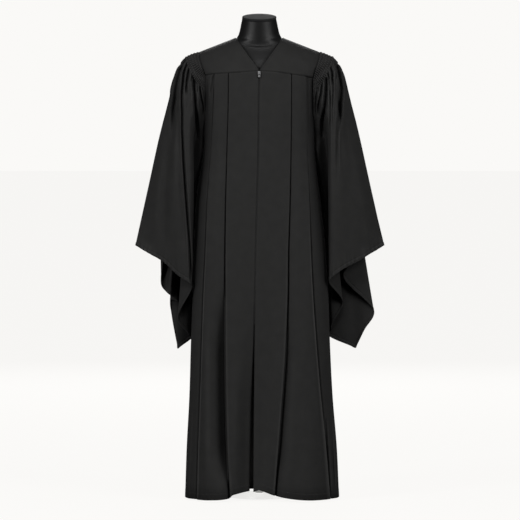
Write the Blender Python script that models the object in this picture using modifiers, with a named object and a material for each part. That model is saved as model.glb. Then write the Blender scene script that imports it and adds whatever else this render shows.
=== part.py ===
"""Choir robe with bell sleeves, hanging on a limbless dress form.

Metres, +Z up, the front faces -Y. The origin is the middle of the underside of the round foot.
Every cloth panel is a thin wall on both sides of a middle sheet that is worked out from its sizes.
"""
import math

import bmesh
import bpy
from mathutils import Vector

CLOTH = 0.0013
TAPE = 0.0010
SEAM = 0.0006

# Robe body: the outer line of each level section.
BODY_COLUMNS = ("height", "front", "back", "roundness", "layer")
BODY = (
    (1.305, 0.1055, 0.0980, 2.50, 0.0026),
    (1.200, 0.1100, 0.1040, 2.50, 0.0027),
    (1.066, 0.1130, 0.1100, 2.45, 0.0029),
    (0.910, 0.1170, 0.1220, 2.40, 0.0032),
    (0.760, 0.1220, 0.1350, 2.35, 0.0036),
    (0.610, 0.1280, 0.1480, 2.30, 0.0041),
    (0.450, 0.1350, 0.1600, 2.25, 0.0048),
    (0.300, 0.1430, 0.1710, 2.20, 0.0056),
    (0.150, 0.1520, 0.1810, 2.20, 0.0066),
    (0.000, 0.1590, 0.1890, 2.20, 0.0076),
)

# Where the zip edge, the two fold edges and the side stand, from the middle line outwards.
SIDE_COLUMNS = ("height", "zip", "inner_fold", "outer_fold", "half_width")
RIGHT_SIDE = (
    (1.305, 0.0018, 0.0960, 0.1410, 0.1860),
    (1.204, -0.0002, 0.0959, 0.1433, 0.1740),
    (1.065, -0.0018, 0.0944, 0.1448, 0.1700),
    (0.914, -0.0064, 0.0915, 0.1512, 0.1860),
    (0.763, -0.0100, 0.0870, 0.1564, 0.2025),
    (0.612, -0.0124, 0.0849, 0.1641, 0.2110),
    (0.461, -0.0138, 0.0789, 0.1757, 0.2160),
    (0.309, -0.0150, 0.0690, 0.1900, 0.2240),
    (0.158, -0.0160, 0.0578, 0.2060, 0.2365),
    (0.000, -0.0170, 0.0469, 0.2190, 0.2435),
)
LEFT_SIDE = (
    (1.305, 0.0018, 0.0911, 0.1348, 0.1860),
    (1.204, 0.0025, 0.0920, 0.1378, 0.1740),
    (1.065, 0.0039, 0.0956, 0.1454, 0.1710),
    (0.914, 0.0084, 0.0993, 0.1561, 0.1920),
    (0.763, 0.0121, 0.1012, 0.1625, 0.2000),
    (0.612, 0.0146, 0.1012, 0.1698, 0.2040),
    (0.461, 0.0178, 0.1007, 0.1755, 0.2085),
    (0.309, 0.0218, 0.0989, 0.1810, 0.2130),
    (0.158, 0.0267, 0.0950, 0.1865, 0.2210),
    (0.000, 0.0294, 0.0875, 0.1905, 0.2260),
)
FOLD_DEPTH = {"inner": (0.034, 0.026), "outer": (0.020, 0.024)}

# The yoke seam and the hem, height over the distance from the middle line.
YOKE_SEAM = {
    1: ((0.000, 1.3050), (0.050, 1.3018), (0.093, 1.2960), (0.132, 1.2902), (0.165, 1.2840)),
    -1: ((0.000, 1.3050), (0.058, 1.3010), (0.103, 1.2982), (0.141, 1.2955), (0.165, 1.2900)),
}
HEM = {
    1: ((0.000, 0.0370), (0.047, 0.0210), (0.090, 0.0120), (0.150, 0.0060), (0.215, 0.0055), (0.245, 0.0060)),
    -1: ((0.000, 0.0370), (0.080, 0.0230), (0.092, 0.0120), (0.150, 0.0060), (0.200, 0.0055), (0.245, 0.0060)),
}
BACK_SEAM_HEIGHT = 1.286
BACK_HEM_HEIGHT = 0.0090

# Armhole, half width over height, from the yoke corner down to the underarm.
UNDERARM = 1.066
ARMHOLE = (
    (1.284, 0.1600),
    (1.216, 0.1575),
    (1.155, 0.1605),
    (1.110, 0.1640),
    (1.080, 0.1670),
    (1.066, 0.1685),
)

# Neck and shoulder points of the yokes, on the +X side.
SHOULDER_LINE = ((0.0720, 0.004, 1.4050), (0.1090, 0.005, 1.3905), (0.1460, 0.005, 1.3760), (0.1840, 0.004, 1.3612))
V_NECK = (
    (0.0720, 0.0040, 1.4050),
    (0.0690, -0.0260, 1.4008),
    (0.0610, -0.0540, 1.3897),
    (0.0480, -0.0740, 1.3715),
    (0.0340, -0.0865, 1.3520),
    (0.0170, -0.0970, 1.3285),
    (0.0008, -0.1055, 1.3060),
)
FRONT_ARMHOLE = ((0.1840, 0.004, 1.3612), (0.1825, -0.024, 1.3500), (0.1765, -0.046, 1.3270), (0.1680, -0.058, 1.3040))
BACK_ARMHOLE = ((0.1840, 0.004, 1.3612), (0.1825, 0.030, 1.3500), (0.1765, 0.047, 1.3270), (0.1680, 0.058, 1.3040))
BACK_NECK = ((0.0720, 0.004, 1.4050), (0.0640, 0.036, 1.4010), (0.0380, 0.059, 1.3950), (0.0000, 0.067, 1.3925))

# Sleeve ribs: share of the way round the armhole from the shoulder forwards, width of the shirred band,
# then the rib's points under the band, at the elbow and at the cuff edge, in millimetres.
RIB_COLUMNS = ("share", "band", "high", "low", "cuff")
RIGHT_RIBS = (
    (0.000, 0.047, (288, 10, 1170), (333, 5, 972), (381, 0, 773)),
    (0.060, 0.046, (267, -38, 1164), (306, -45, 967), (343, -28, 752)),
    (0.115, 0.042, (245, -68, 1155), (275, -72, 961), (300, -52, 727)),
    (0.160, 0.036, (227, -80, 1149), (245, -86, 956), (257, -70, 705)),
    (0.195, 0.028, (213, -78, 1143), (219, -86, 950), (225, -80, 683)),
    (0.240, 0.016, (203, -64, 1137), (210, -70, 943), (212, -72, 667)),
    (0.340, 0.007, (192, -44, 1096), (222, -36, 912), (255, -48, 593)),
    (0.425, 0.007, (182, -34, 1052), (202, -14, 898), (222, -25, 528)),
    (0.465, 0.007, (181, -5, 1032), (200, 22, 888), (221, 18, 511)),
    (0.505, 0.007, (176, 32, 1022), (190, 54, 880), (214, 56, 495)),
    (0.585, 0.007, (200, 58, 1063), (248, 74, 879), (296, 55, 457)),
    (0.632, 0.008, (214, 70, 1085), (271, 78, 893), (323, 54, 512)),
    (0.680, 0.009, (229, 80, 1108), (291, 80, 909), (352, 50, 567)),
    (0.800, 0.026, (243, 84, 1149), (292, 60, 945), (258, 15, 679)),
    (0.880, 0.040, (266, 66, 1161), (315, 48, 959), (326, 12, 738)),
    (0.945, 0.045, (280, 40, 1168), (328, 30, 967), (357, 12, 757)),
)
LEFT_RIBS = (
    (0.000, 0.047, (288, 10, 1170), (333, 5, 972), (377, 0, 773)),
    (0.060, 0.046, (267, -38, 1164), (306, -45, 967), (333, -28, 748)),
    (0.115, 0.042, (245, -68, 1155), (275, -72, 961), (289, -50, 723)),
    (0.160, 0.036, (227, -80, 1149), (245, -86, 956), (246, -68, 684)),
    (0.195, 0.028, (213, -78, 1143), (219, -86, 950), (217, -77, 662)),
    (0.240, 0.016, (203, -64, 1137), (211, -70, 943), (209, -66, 648)),
    (0.340, 0.007, (192, -44, 1096), (222, -36, 912), (248, -44, 548)),
    (0.425, 0.007, (182, -34, 1052), (204, -14, 898), (215, -24, 503)),
    (0.465, 0.007, (181, -5, 1032), (203, 22, 888), (215, 18, 495)),
    (0.505, 0.007, (177, 32, 1022), (194, 54, 880), (207, 56, 488)),
    (0.585, 0.007, (200, 58, 1063), (240, 74, 879), (250, 52, 454)),
    (0.680, 0.009, (229, 80, 1108), (280, 76, 909), (271, 58, 603)),
    (0.740, 0.016, (237, 84, 1130), (270, 60, 925), (250, 34, 601)),
    (0.840, 0.034, (254, 76, 1154), (295, 62, 950), (297, 22, 646)),
    (0.930, 0.045, (278, 48, 1166), (322, 36, 965), (300, 14, 731)),
)
RIB_STEPS = 4
ARM_MIDDLE = Vector((0.165, 0.0, 1.220))
CROWN = 0.0110
SLEEVE_ROWS = (0.0, 0.35, 0.7, 1.0, 1.5, 2.0, 2.5, 3.0, 3.4, 3.8, 4.2, 4.6, 5.0)
SMOCK_RISE = 0.0012
GATHER = 0.0028

# Dress form: level section rows from the neck down.
FORM_COLUMNS = ("height", "half_width", "front", "back", "tilt", "roundness")
FORM = (
    (1.4620, 0.0510, -0.0700, 0.0300, 0.21, 2.0),
    (1.4470, 0.0535, -0.0685, 0.0350, 0.18, 2.0),
    (1.4320, 0.0562, -0.0670, 0.0400, 0.14, 2.0),
    (1.4180, 0.0602, -0.0660, 0.0445, 0.09, 2.0),
    (1.4090, 0.0645, -0.0640, 0.0475, 0.05, 2.0),
    (1.4025, 0.0703, -0.0570, 0.0500, 0.02, 1.85),
    (1.3950, 0.0893, -0.0550, 0.0525, 0.00, 1.70),
    (1.3840, 0.1175, -0.0580, 0.0560, 0.00, 1.65),
    (1.3730, 0.1445, -0.0610, 0.0580, 0.00, 1.65),
    (1.3640, 0.1600, -0.0650, 0.0610, 0.00, 1.70),
    (1.3500, 0.1690, -0.0750, 0.0690, 0.00, 1.95),
    (1.3300, 0.1715, -0.0830, 0.0745, 0.00, 2.1),
    (1.3000, 0.1720, -0.0905, 0.0800, 0.00, 2.2),
    (1.2500, 0.1630, -0.0930, 0.0850, 0.00, 2.2),
    (1.2000, 0.1510, -0.0930, 0.0860, 0.00, 2.2),
    (1.1200, 0.1320, -0.0890, 0.0820, 0.00, 2.2),
    (1.0400, 0.1200, -0.0830, 0.0780, 0.00, 2.2),
    (0.9600, 0.1290, -0.0860, 0.0860, 0.00, 2.2),
    (0.8800, 0.1480, -0.0900, 0.0960, 0.00, 2.2),
    (0.8050, 0.1560, -0.0900, 0.1000, 0.00, 2.2),
    (0.7800, 0.1500, -0.0860, 0.0960, 0.00, 2.2),
)
FORM_SIDES = 32
CAP_HEIGHT = 0.006
POLE_RADIUS = 0.0125
POLE_Y = 0.040
FOOT_RADIUS = 0.095
FOOT_HEIGHT = 0.012

ZIP_END = 0.535
TAPE_WIDTH = 0.0100
PULL_HEIGHT = 1.2972
PULL_Y = -0.1103


def hermite(rows, at, column):
    """Smooth value of one column of a table at a place in its first column."""
    keys = [row[0] for row in rows]
    values = [row[column] for row in rows]
    if keys[0] > keys[-1]:
        keys = keys[::-1]
        values = values[::-1]
    if at <= keys[0]:
        return values[0]
    if at >= keys[-1]:
        return values[-1]
    i = 0
    while keys[i + 1] < at:
        i += 1

    def slope(k):
        low = max(k - 1, 0)
        high = min(k + 1, len(keys) - 1)
        return (values[high] - values[low]) / (keys[high] - keys[low])

    step = keys[i + 1] - keys[i]
    t = (at - keys[i]) / step
    a = values[i]
    b = values[i + 1]
    h1 = 2 * t ** 3 - 3 * t ** 2 + 1
    h2 = t ** 3 - 2 * t ** 2 + t
    h3 = -2 * t ** 3 + 3 * t ** 2
    h4 = t ** 3 - t ** 2
    return h1 * a + h2 * step * slope(i) + h3 * b + h4 * step * slope(i + 1)


def ease(t):
    t = min(max(t, 0.0), 1.0)
    return t * t * (3 - 2 * t)


def spline(points, t):
    """Point on a smooth open curve, t counted in points."""
    places = [0.0]
    for a, b in zip(points, points[1:]):
        places.append(places[-1] + max((Vector(b) - Vector(a)).length, 1e-6) ** 0.5)
    i = min(int(t), len(points) - 2)
    at = places[i] + (places[i + 1] - places[i]) * (t - i)
    rows = [(place,) + tuple(p) for place, p in zip(places, points)]
    return Vector([hermite(rows, at, k) for k in (1, 2, 3)])


def ring_point(points, t):
    """Point on a smooth closed curve, t counted in points."""
    n = len(points)
    i = math.floor(t)
    f = t - i
    p0, p1, p2, p3 = (Vector(points[(i + k) % n]) for k in (-1, 0, 1, 2))

    def gap(a, b):
        return max((b - a).length, 1e-5) ** 0.5

    d1, d2, d3 = gap(p0, p1), gap(p1, p2), gap(p2, p3)
    m1 = (p1 - p0) / d1 - (p2 - p0) / (d1 + d2) + (p2 - p1) / d2
    m2 = (p2 - p1) / d2 - (p3 - p1) / (d2 + d3) + (p3 - p2) / d3
    m1 *= d2
    m2 *= d2
    h1 = 2 * f ** 3 - 3 * f ** 2 + 1
    h2 = f ** 3 - 2 * f ** 2 + f
    h3 = -2 * f ** 3 + 3 * f ** 2
    h4 = f ** 3 - f ** 2
    return p1 * h1 + m1 * h2 + p2 * h3 + m2 * h4


# Body sheets.

def side_table(side):
    return RIGHT_SIDE if side > 0 else LEFT_SIDE


def body_point(side, across, height, lift, front):
    """Point of the body's outer line, found by its distance from the middle, moved out by lift."""
    wide = hermite(side_table(side), height, 4)
    deep = hermite(BODY, height, 1 if front else 2)
    power = hermite(BODY, height, 3)
    share = min(max(across / wide, -1.0), 1.0)
    turn = math.asin(math.copysign(abs(share) ** (power / 2), share))
    return turned_point(side, turn, wide, deep, power, height, lift, front)


def turned_point(side, turn, wide, deep, power, height, lift, front):
    def spot(angle):
        s = math.sin(angle)
        c = max(math.cos(angle), 0.0)
        x = wide * math.copysign(abs(s) ** (2 / power), s)
        y = deep * c ** (2 / power)
        return x, y

    x, y = spot(turn)
    nx = math.copysign(abs(x / wide) ** (power - 1) / wide, x)
    ny = (y / deep) ** (power - 1) / deep
    size = math.hypot(nx, ny)
    x += lift * nx / size
    y += lift * ny / size
    return Vector((side * x, -y if front else y, height))


def hollow(across, height, front):
    """Slow rise and fall of the skirt across its width, growing to the hem."""
    low = ease((0.95 - height) / 0.95)
    if front:
        middle = -0.020 * math.exp(-((across + 0.000) / 0.050) ** 2)
        swell = 0.006 * math.exp(-((across - 0.140) / 0.045) ** 2)
        return low * (middle + swell)
    return low * 0.006 * math.cos(across * 42.0)


def fold_run(edge, folds, end, layer, counts):
    """Distances and lifts along a panel with knife pleats, their fold edges facing outwards."""
    run = []
    start = edge
    lift = 0.0
    cover = edge
    for n, (tip, depth) in enumerate(folds):
        r = layer / 2
        run += panel_run(start, cover, tip - r, lift, counts[n])
        run.append((tip, -layer * 0.5))
        run.append((tip - r, -layer))
        inner = tip - depth
        run.append((inner + r, -layer))
        run.append((inner, -layer * 1.5))
        start = inner + r
        lift = -2 * layer
        cover = tip
    return run + panel_run(start, cover, end, lift, counts[-1])


def panel_run(start, cover, last, lift, count):
    """A panel that stays under the fold that covers its start, then rises to the outer line."""
    if lift == 0.0:
        return [(start + (last - start) * k / (count - 1), 0.0) for k in range(count)]
    clear = cover + 0.0015
    rise = min(0.032, (last - clear) * 0.92)
    run = [(start, lift), ((start + clear) / 2, lift)]
    for k in range(count - 2):
        t = k / (count - 3)
        away = clear + (last - clear) * t
        run.append((away, lift * (1 - ease((away - clear) / rise))))
    return run


def armhole_edge(height):
    return hermite(ARMHOLE, height, 1)


def level_rows():
    return (1.296, 1.255, 1.195, 1.135, 1.098, 1.074, 1.058, 0.990, 0.890, 0.770, 0.630, 0.480, 0.330,
            0.180, 0.0)


def front_grid(side):
    table = side_table(side)
    rows = []
    for v, height in enumerate(level_rows()):
        layer = hermite(BODY, height, 4)
        zip_edge = hermite(table, height, 1)
        wide = hermite(table, height, 4)
        power = hermite(BODY, height, 3)
        low = 1 - height / 1.296
        depths = [a + (b - a) * low for a, b in (FOLD_DEPTH["inner"], FOLD_DEPTH["outer"])]
        folds = [(hermite(table, height, 2), depths[0]), (hermite(table, height, 3), depths[1])]
        open_arm = height > UNDERARM
        end = armhole_edge(height) if open_arm else wide * 0.985
        run = fold_run(zip_edge, folds, end, layer, (6, 7, 6))
        line = [body_point(side, a, height, lift + hollow(a, height, True), True) for a, lift in run]
        last = run[-1][0]
        turn0 = math.asin(min(last / wide, 1.0) ** (power / 2))
        deep = hermite(BODY, height, 1)
        for k in (1, 2, 3):
            if open_arm:
                p = body_point(side, min(last + 0.0012 * k, wide * 0.9997), height, 0.0, True)
            else:
                turn = turn0 + (math.pi / 2 - turn0) * k / 3
                p = turned_point(side, turn, wide, deep, power, height, 0.0, True)
                if k == 3:
                    p.y -= 0.0004
            line.append(p)
        row = []
        fade_top = max(0.0, 1 - (1.296 - height) / 0.12)
        fade_hem = max(0.0, 1 - height / 0.18)
        for p in line:
            away = abs(p.x)
            top = hermite(YOKE_SEAM[side], away, 1) - SEAM - 1.296
            hem = hermite(HEM[side], away, 1)
            q = p.copy()
            q.z = height + top * fade_top + hem * fade_hem
            row.append(q)
        rows.append(row)
    return rows


def back_grid():
    rows = []
    for height in level_rows():
        halves = []
        for side in (-1, 1):
            table = side_table(side)
            layer = hermite(BODY, height, 4)
            wide = hermite(table, height, 4)
            power = hermite(BODY, height, 3)
            deep = hermite(BODY, height, 2)
            low = 1 - height / 1.296
            inner = 0.062 + 0.030 * low
            outer = 0.118 + 0.040 * low
            folds = [(inner, 0.030), (outer, 0.026)]
            open_arm = height > UNDERARM
            end = armhole_edge(height) if open_arm else wide * 0.985
            run = fold_run(0.0, folds, end, layer, (4, 6, 5))
            line = [body_point(side, a, height, lift + hollow(a, height, False), False) for a, lift in run]
            last = run[-1][0]
            turn0 = math.asin(min(last / wide, 1.0) ** (power / 2))
            for k in (1, 2, 3):
                if open_arm:
                    p = body_point(side, min(last + 0.0012 * k, wide * 0.9997), height, 0.0, False)
                else:
                    turn = turn0 + (math.pi / 2 - turn0) * k / 3
                    p = turned_point(side, turn, wide, deep, power, height, 0.0, False)
                    if k == 3:
                        p.y += 0.0004
                line.append(p)
            halves.append(line)
        fade_top = max(0.0, 1 - (1.296 - height) / 0.12)
        fade_hem = max(0.0, 1 - height / 0.18)
        row = []
        for p in halves[0][::-1] + halves[1][1:]:
            q = p.copy()
            q.z = height + (BACK_SEAM_HEIGHT - SEAM - 1.296) * fade_top + BACK_HEM_HEIGHT * fade_hem
            row.append(q)
        rows.append(row)
    return rows


# Yoke sheets.

def yoke_corner(side, front):
    height = hermite(YOKE_SEAM[side], 0.160, 1) if front else BACK_SEAM_HEIGHT
    p = body_point(side, 0.1636, height, 0.0, front)
    p.x *= side
    return p


def coons(top, bottom, left, right, rows, columns):
    """Sheet between four edges; top and bottom run across, left and right run down."""
    grid = []
    for r in range(rows + 1):
        v = r / rows
        line = []
        for c in range(columns + 1):
            u = c / columns
            a = top(u) * (1 - v) + bottom(u) * v
            b = left(v) * (1 - u) + right(v) * u
            corner = (top(0) * (1 - u) + top(1) * u) * (1 - v) + (bottom(0) * (1 - u) + bottom(1) * u) * v
            line.append(a + b - corner)
        grid.append(line)
    return grid


def front_yoke_grid(side):
    corner = yoke_corner(side, True)
    arm = list(FRONT_ARMHOLE) + [tuple(corner)]

    def top(u):
        return spline(SHOULDER_LINE, u * (len(SHOULDER_LINE) - 1))

    def bottom(u):
        away = V_NECK[-1][0] + (corner.x - V_NECK[-1][0]) * u
        height = hermite(YOKE_SEAM[side], away, 1)
        q = body_point(side, away, height, 0.0, True)
        return Vector((away, q.y, height))

    def left(v):
        return spline(V_NECK, v * (len(V_NECK) - 1))

    def right(v):
        return spline(arm, v * (len(arm) - 1))

    start = bottom(0)
    shift = start - left(1)
    end_shift = bottom(1) - right(1)
    grid = coons(top, bottom, lambda v: left(v) + shift * v, lambda v: right(v) + end_shift * v, 9, 9)
    out = []
    for line in grid:
        out.append([Vector((side * p.x, p.y, p.z)) for p in line])
    for p in out[0]:
        p.y -= SEAM / 2 + 0.0002
    return out


def arched(top, low, v):
    """Point between two others on a quarter arch: level at the top, upright at the bottom."""
    out = math.sin(v * math.pi / 2)
    down = 1 - math.cos(v * math.pi / 2)
    level = top * (1 - v) + low * v
    bowed = Vector((level.x, top.y + (low.y - top.y) * out, top.z + (low.z - top.z) * down))
    return level * 0.25 + bowed * 0.75


def back_yoke_grid():
    corners = {side: yoke_corner(side, False) for side in (-1, 1)}
    half = []
    columns = 7
    neck_columns = 5
    for side in (-1, 1):
        corner = corners[side]
        arm = list(BACK_ARMHOLE) + [tuple(corner)]
        total = columns + neck_columns
        grid = []
        rows = 7
        for r in range(rows + 1):
            v = r / rows
            line = []
            for c in range(total + 1):
                u = c / total
                if c <= neck_columns:
                    t = c / neck_columns
                    top = spline(BACK_NECK, (1 - t) * (len(BACK_NECK) - 1))
                else:
                    t = (c - neck_columns) / columns
                    top = spline(SHOULDER_LINE, t * (len(SHOULDER_LINE) - 1))
                away = corner.x * u
                low = body_point(side, away, BACK_SEAM_HEIGHT, 0.0, False)
                low.x = abs(low.x)
                edge = spline(arm, v * (len(arm) - 1))
                p = arched(top, low, v) + (edge - arched(Vector(arm[0]), corner, v)) * u
                line.append(Vector((side * p.x, p.y, p.z)))
            grid.append(line)
        half.append(grid)
    out = []
    for a, b in zip(half[0], half[1]):
        out.append(a[::-1] + b[1:])
    for p in out[0]:
        p.y += SEAM / 2 + 0.0002
    return out


# Sleeve sheets.

def armhole_ring(side):
    """Points round the armhole from the shoulder, forwards and down, then up the back.

    Each stands off the edge that it is sewn to, by more where that edge's wall faces sideways.
    """
    yoke = front_yoke_grid(side)
    front = front_grid(side)
    back_yoke = back_yoke_grid()
    back = back_grid()
    column = -1 if side > 0 else 0
    open_rows = [r for r, height in enumerate(level_rows()) if height > UNDERARM]
    runs = (
        (yoke, range(len(yoke)), -1),
        (front, open_rows, -1),
        (back, open_rows[::-1], column),
        (back_yoke, range(len(back_yoke) - 1, 0, -1), column),
    )
    points = []
    for grid, rows, place in runs:
        normals = grid_normals(grid, False, False)
        for r in rows:
            p = grid[r][place]
            stand = (0.0016 if grid is back_yoke else 0.0008) + CLOTH / 2 * abs(normals[r][place].x)
            points.append(Vector((abs(p.x) + stand, p.y, p.z)))
        if grid is front:
            points.append(Vector((points[-1].x + 0.0010, 0.0, UNDERARM - 0.002)))
    return points


def ring_share(points, share):
    """Point at a share of the length round a closed ring."""
    n = len(points)
    lengths = [(points[(i + 1) % n] - points[i]).length for i in range(n)]
    want = (share % 1.0) * sum(lengths)
    i = 0
    while want > lengths[i]:
        want -= lengths[i]
        i += 1
    return ring_point(points, i + want / lengths[i])


def sleeve_grid(side):
    ribs = RIGHT_RIBS if side > 0 else LEFT_RIBS
    ring = armhole_ring(side)
    lines = []
    for share, band, high, low, cuff in ribs:
        start = ring_share(ring, share)
        high = Vector(high) / 1000
        low = Vector(low) / 1000
        cuff = Vector(cuff) / 1000
        full = min(band / 0.040, 1.0)
        start.x += CLOTH / 2 * (1 - full)
        drop = 0.42 + 5.0 * min(share, 1 - share)
        lead = Vector((1.0, start.y * 2.0, -drop)).normalized()
        out = (high - start).normalized()
        end = start + (lead * full + out * (1 - full)) * band
        fall = (high - end).normalized()
        away = end - ARM_MIDDLE
        away -= fall * away.dot(fall)
        crown = end + (high - end) * 0.32 + away.normalized() * CROWN * full
        lines.append((start, end, crown, high, low, cuff))
    grid = []
    for t in SLEEVE_ROWS:
        knots = [spline(line, t) for line in lines]
        row = []
        for i in range(len(ribs)):
            for k in range(RIB_STEPS):
                row.append(ring_point(knots, i + k / RIB_STEPS))
        if side < 0:
            row = [Vector((-p.x, p.y, p.z)) for p in row]
        grid.append(row)
    normals = grid_normals(grid, True, side < 0)
    for r, t in enumerate(SLEEVE_ROWS):
        fall = 1 - 0.85 * ease((t - 1.0) / 3.4) if t > 0.9 else 0.0
        for c in range(len(grid[r])):
            f = c / RIB_STEPS
            i = math.floor(f)
            band = ribs[i][1] + (ribs[(i + 1) % len(ribs)][1] - ribs[i][1]) * (f - i)
            size = GATHER * fall * min(band / 0.040, 1.0)
            grid[r][c] = grid[r][c] + normals[r][c] * size * math.cos(math.pi * 2 * (c % RIB_STEPS) / RIB_STEPS)
    return grid


# Walls.

def grid_normals(grid, closed, flip):
    rows = len(grid)
    columns = len(grid[0])
    out = []
    for r in range(rows):
        line = []
        for c in range(columns):
            a = grid[r][(c + 1) % columns if closed else min(c + 1, columns - 1)]
            b = grid[r][(c - 1) % columns if closed else max(c - 1, 0)]
            d = grid[min(r + 1, rows - 1)][c]
            e = grid[max(r - 1, 0)][c]
            normal = (a - b).normalized().cross((d - e).normalized()).normalized()
            line.append(-normal if flip else normal)
        out.append(line)
    return out


def wall(name, grid, thick, material, closed=False, flip=False, rise=None):
    """Closed solid with a wall on both sides of the sheet."""
    normals = grid_normals(grid, closed, flip)
    rows = len(grid)
    columns = len(grid[0])
    mesh = bpy.data.meshes.new(name)
    bm = bmesh.new()
    outer = []
    inner = []
    for r in range(rows):
        outer_row = []
        inner_row = []
        for c in range(columns):
            extra = rise(r, c) if rise else 0.0
            outer_row.append(bm.verts.new(grid[r][c] + normals[r][c] * (thick / 2 + extra)))
            inner_row.append(bm.verts.new(grid[r][c] - normals[r][c] * thick / 2))
        outer.append(outer_row)
        inner.append(inner_row)
    span = columns if closed else columns - 1
    for r in range(rows - 1):
        for c in range(span):
            d = (c + 1) % columns
            e = r + 1
            if (grid[r][c] - grid[e][d]).length < (grid[r][d] - grid[e][c]).length:
                split = (((r, c), (r, d), (e, d)), ((r, c), (e, d), (e, c)))
            else:
                split = (((r, c), (r, d), (e, c)), ((r, d), (e, d), (e, c)))
            for corners in split:
                bm.faces.new([outer[i][j] for i, j in corners])
                bm.faces.new([inner[i][j] for i, j in corners[::-1]])
    for c in range(span):
        d = (c + 1) % columns
        bm.faces.new((outer[0][d], outer[0][c], inner[0][c], inner[0][d]))
        bm.faces.new((outer[-1][c], outer[-1][d], inner[-1][d], inner[-1][c]))
    if not closed:
        for r in range(rows - 1):
            bm.faces.new((outer[r][0], outer[r + 1][0], inner[r + 1][0], inner[r][0]))
            bm.faces.new((outer[r + 1][-1], outer[r][-1], inner[r][-1], inner[r + 1][-1]))
    bmesh.ops.recalc_face_normals(bm, faces=bm.faces)
    for face in bm.faces:
        face.smooth = True
    bm.to_mesh(mesh)
    bm.free()
    return add(name, mesh, material)


def add(name, mesh, material):
    obj = bpy.data.objects.new(name, mesh)
    mesh.materials.append(material)
    solids.objects.link(obj)
    return obj


def material(name, colour, roughness, metallic=0.0):
    made = bpy.data.materials.new(name)
    made.use_nodes = True
    shader = made.node_tree.nodes["Principled BSDF"]
    shader.inputs["Base Color"].default_value = (*colour, 1.0)
    shader.inputs["Roughness"].default_value = roughness
    shader.inputs["Metallic"].default_value = metallic
    return made


# Dress form.

def form_ring(height, sides):
    wide = hermite(FORM, height, 1)
    front = hermite(FORM, height, 2)
    back = hermite(FORM, height, 3)
    tilt = hermite(FORM, height, 4)
    power = hermite(FORM, height, 5)
    middle = (front + back) / 2
    deep = (back - front) / 2
    ring = []
    for k in range(sides):
        a = 2 * math.pi * (k + 0.5) / sides
        c = math.cos(a)
        s = math.sin(a)
        x = wide * math.copysign(abs(c) ** (2 / power), c)
        y = middle + deep * math.copysign(abs(s) ** (2 / power), s)
        ring.append(Vector((x, y, height + tilt * (y - middle))))
    return ring


def loft(name, rings, mat):
    mesh = bpy.data.meshes.new(name)
    bm = bmesh.new()
    rows = [[bm.verts.new(p) for p in ring] for ring in rings]
    n = len(rings[0])
    for a, b in zip(rows, rows[1:]):
        for k in range(n):
            bm.faces.new((a[k], a[(k + 1) % n], b[(k + 1) % n], b[k]))
    bm.faces.new(rows[0])
    bm.faces.new(rows[-1][::-1])
    bmesh.ops.recalc_face_normals(bm, faces=bm.faces)
    for face in bm.faces:
        face.smooth = len(face.verts) == 4
    bm.to_mesh(mesh)
    bm.free()
    return add(name, mesh, mat)


def turned(name, profile, sides, y, mat):
    """Round piece from radius and height pairs, closed on the axis at both ends."""
    rings = []
    for radius, height in profile:
        ring = []
        for k in range(sides):
            a = 2 * math.pi * k / sides
            ring.append(Vector((radius * math.cos(a), y + radius * math.sin(a), height)))
        rings.append(ring)
    return loft(name, rings, mat)


def build_form():
    heights = [row[0] for row in FORM]
    top = heights[0]
    rings = [form_ring(h, FORM_SIDES) for h in heights]
    lip = []
    middle = sum((p for p in rings[0]), Vector()) / FORM_SIDES
    for p in rings[0]:
        lip.append(middle + (p - middle) * 0.985 + Vector((0, 0, 0.0004)))
    bottom = rings[-1]
    centre = sum((p for p in bottom), Vector()) / FORM_SIDES
    tuck = [centre + (p - centre) * 0.94 - Vector((0, 0, 0.007)) for p in bottom]
    loft("form_torso", [lip] + rings + [tuck], satin)
    slope = FORM[0][4]
    cap = []
    for grow, up in ((0.955, 0.0), (1.0, 0.0010), (1.0, CAP_HEIGHT - 0.0012), (0.965, CAP_HEIGHT)):
        cap.append([middle + (p - middle) * grow + Vector((0, 0, 0.0008 + up)) for p in rings[0]])
    loft("form_cap", cap[::-1], cap_cloth)
    low = tuck[0].z
    r = POLE_RADIUS
    top_z = low - 0.0003
    turned("stand_pole", ((r, top_z), (r, FOOT_HEIGHT + 0.0003)), 24, POLE_Y, stand_metal)
    f = FOOT_RADIUS
    foot = ((f * 0.25, FOOT_HEIGHT), (f * 0.90, FOOT_HEIGHT - 0.003), (f * 0.985, FOOT_HEIGHT - 0.006),
            (f, FOOT_HEIGHT - 0.0085), (f, 0.001), (f - 0.001, 0.0))
    turned("stand_foot", foot, 40, POLE_Y, stand_metal)


# Zip.

def tape_grid(side):
    table = side_table(side)
    rows = []
    count = 11
    top = 1.3038
    for r in range(count + 1):
        height = top + (ZIP_END - top) * r / count
        middle = (hermite(RIGHT_SIDE, height, 1) - hermite(LEFT_SIDE, height, 1)) / 2
        row = []
        for c in range(3):
            x = middle + side * (0.0017 + (TAPE_WIDTH - 0.0017) * c / 2)
            away = x * side
            p = body_point(side, away, height, hollow(away, height, True), True)
            p.x = x
            p.y += CLOTH / 2 + TAPE / 2 + 0.0004
            row.append(p)
        rows.append(row)
    return rows


def box(name, low, high, collection):
    mesh = bpy.data.meshes.new(name)
    bm = bmesh.new()
    bmesh.ops.create_cube(bm, size=1.0)
    size = [b - a for a, b in zip(low, high)]
    middle = [(a + b) / 2 for a, b in zip(low, high)]
    for v in bm.verts:
        v.co = Vector([v.co[k] * size[k] + middle[k] for k in range(3)])
    bm.to_mesh(mesh)
    bm.free()
    obj = bpy.data.objects.new(name, mesh)
    collection.objects.link(obj)
    return obj


def combine(target, tool, kind):
    tool.hide_render = True
    tool.display_type = "WIRE"
    change = target.modifiers.new(tool.name, "BOOLEAN")
    change.operation = kind
    change.solver = "EXACT"
    change.object = tool


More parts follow.
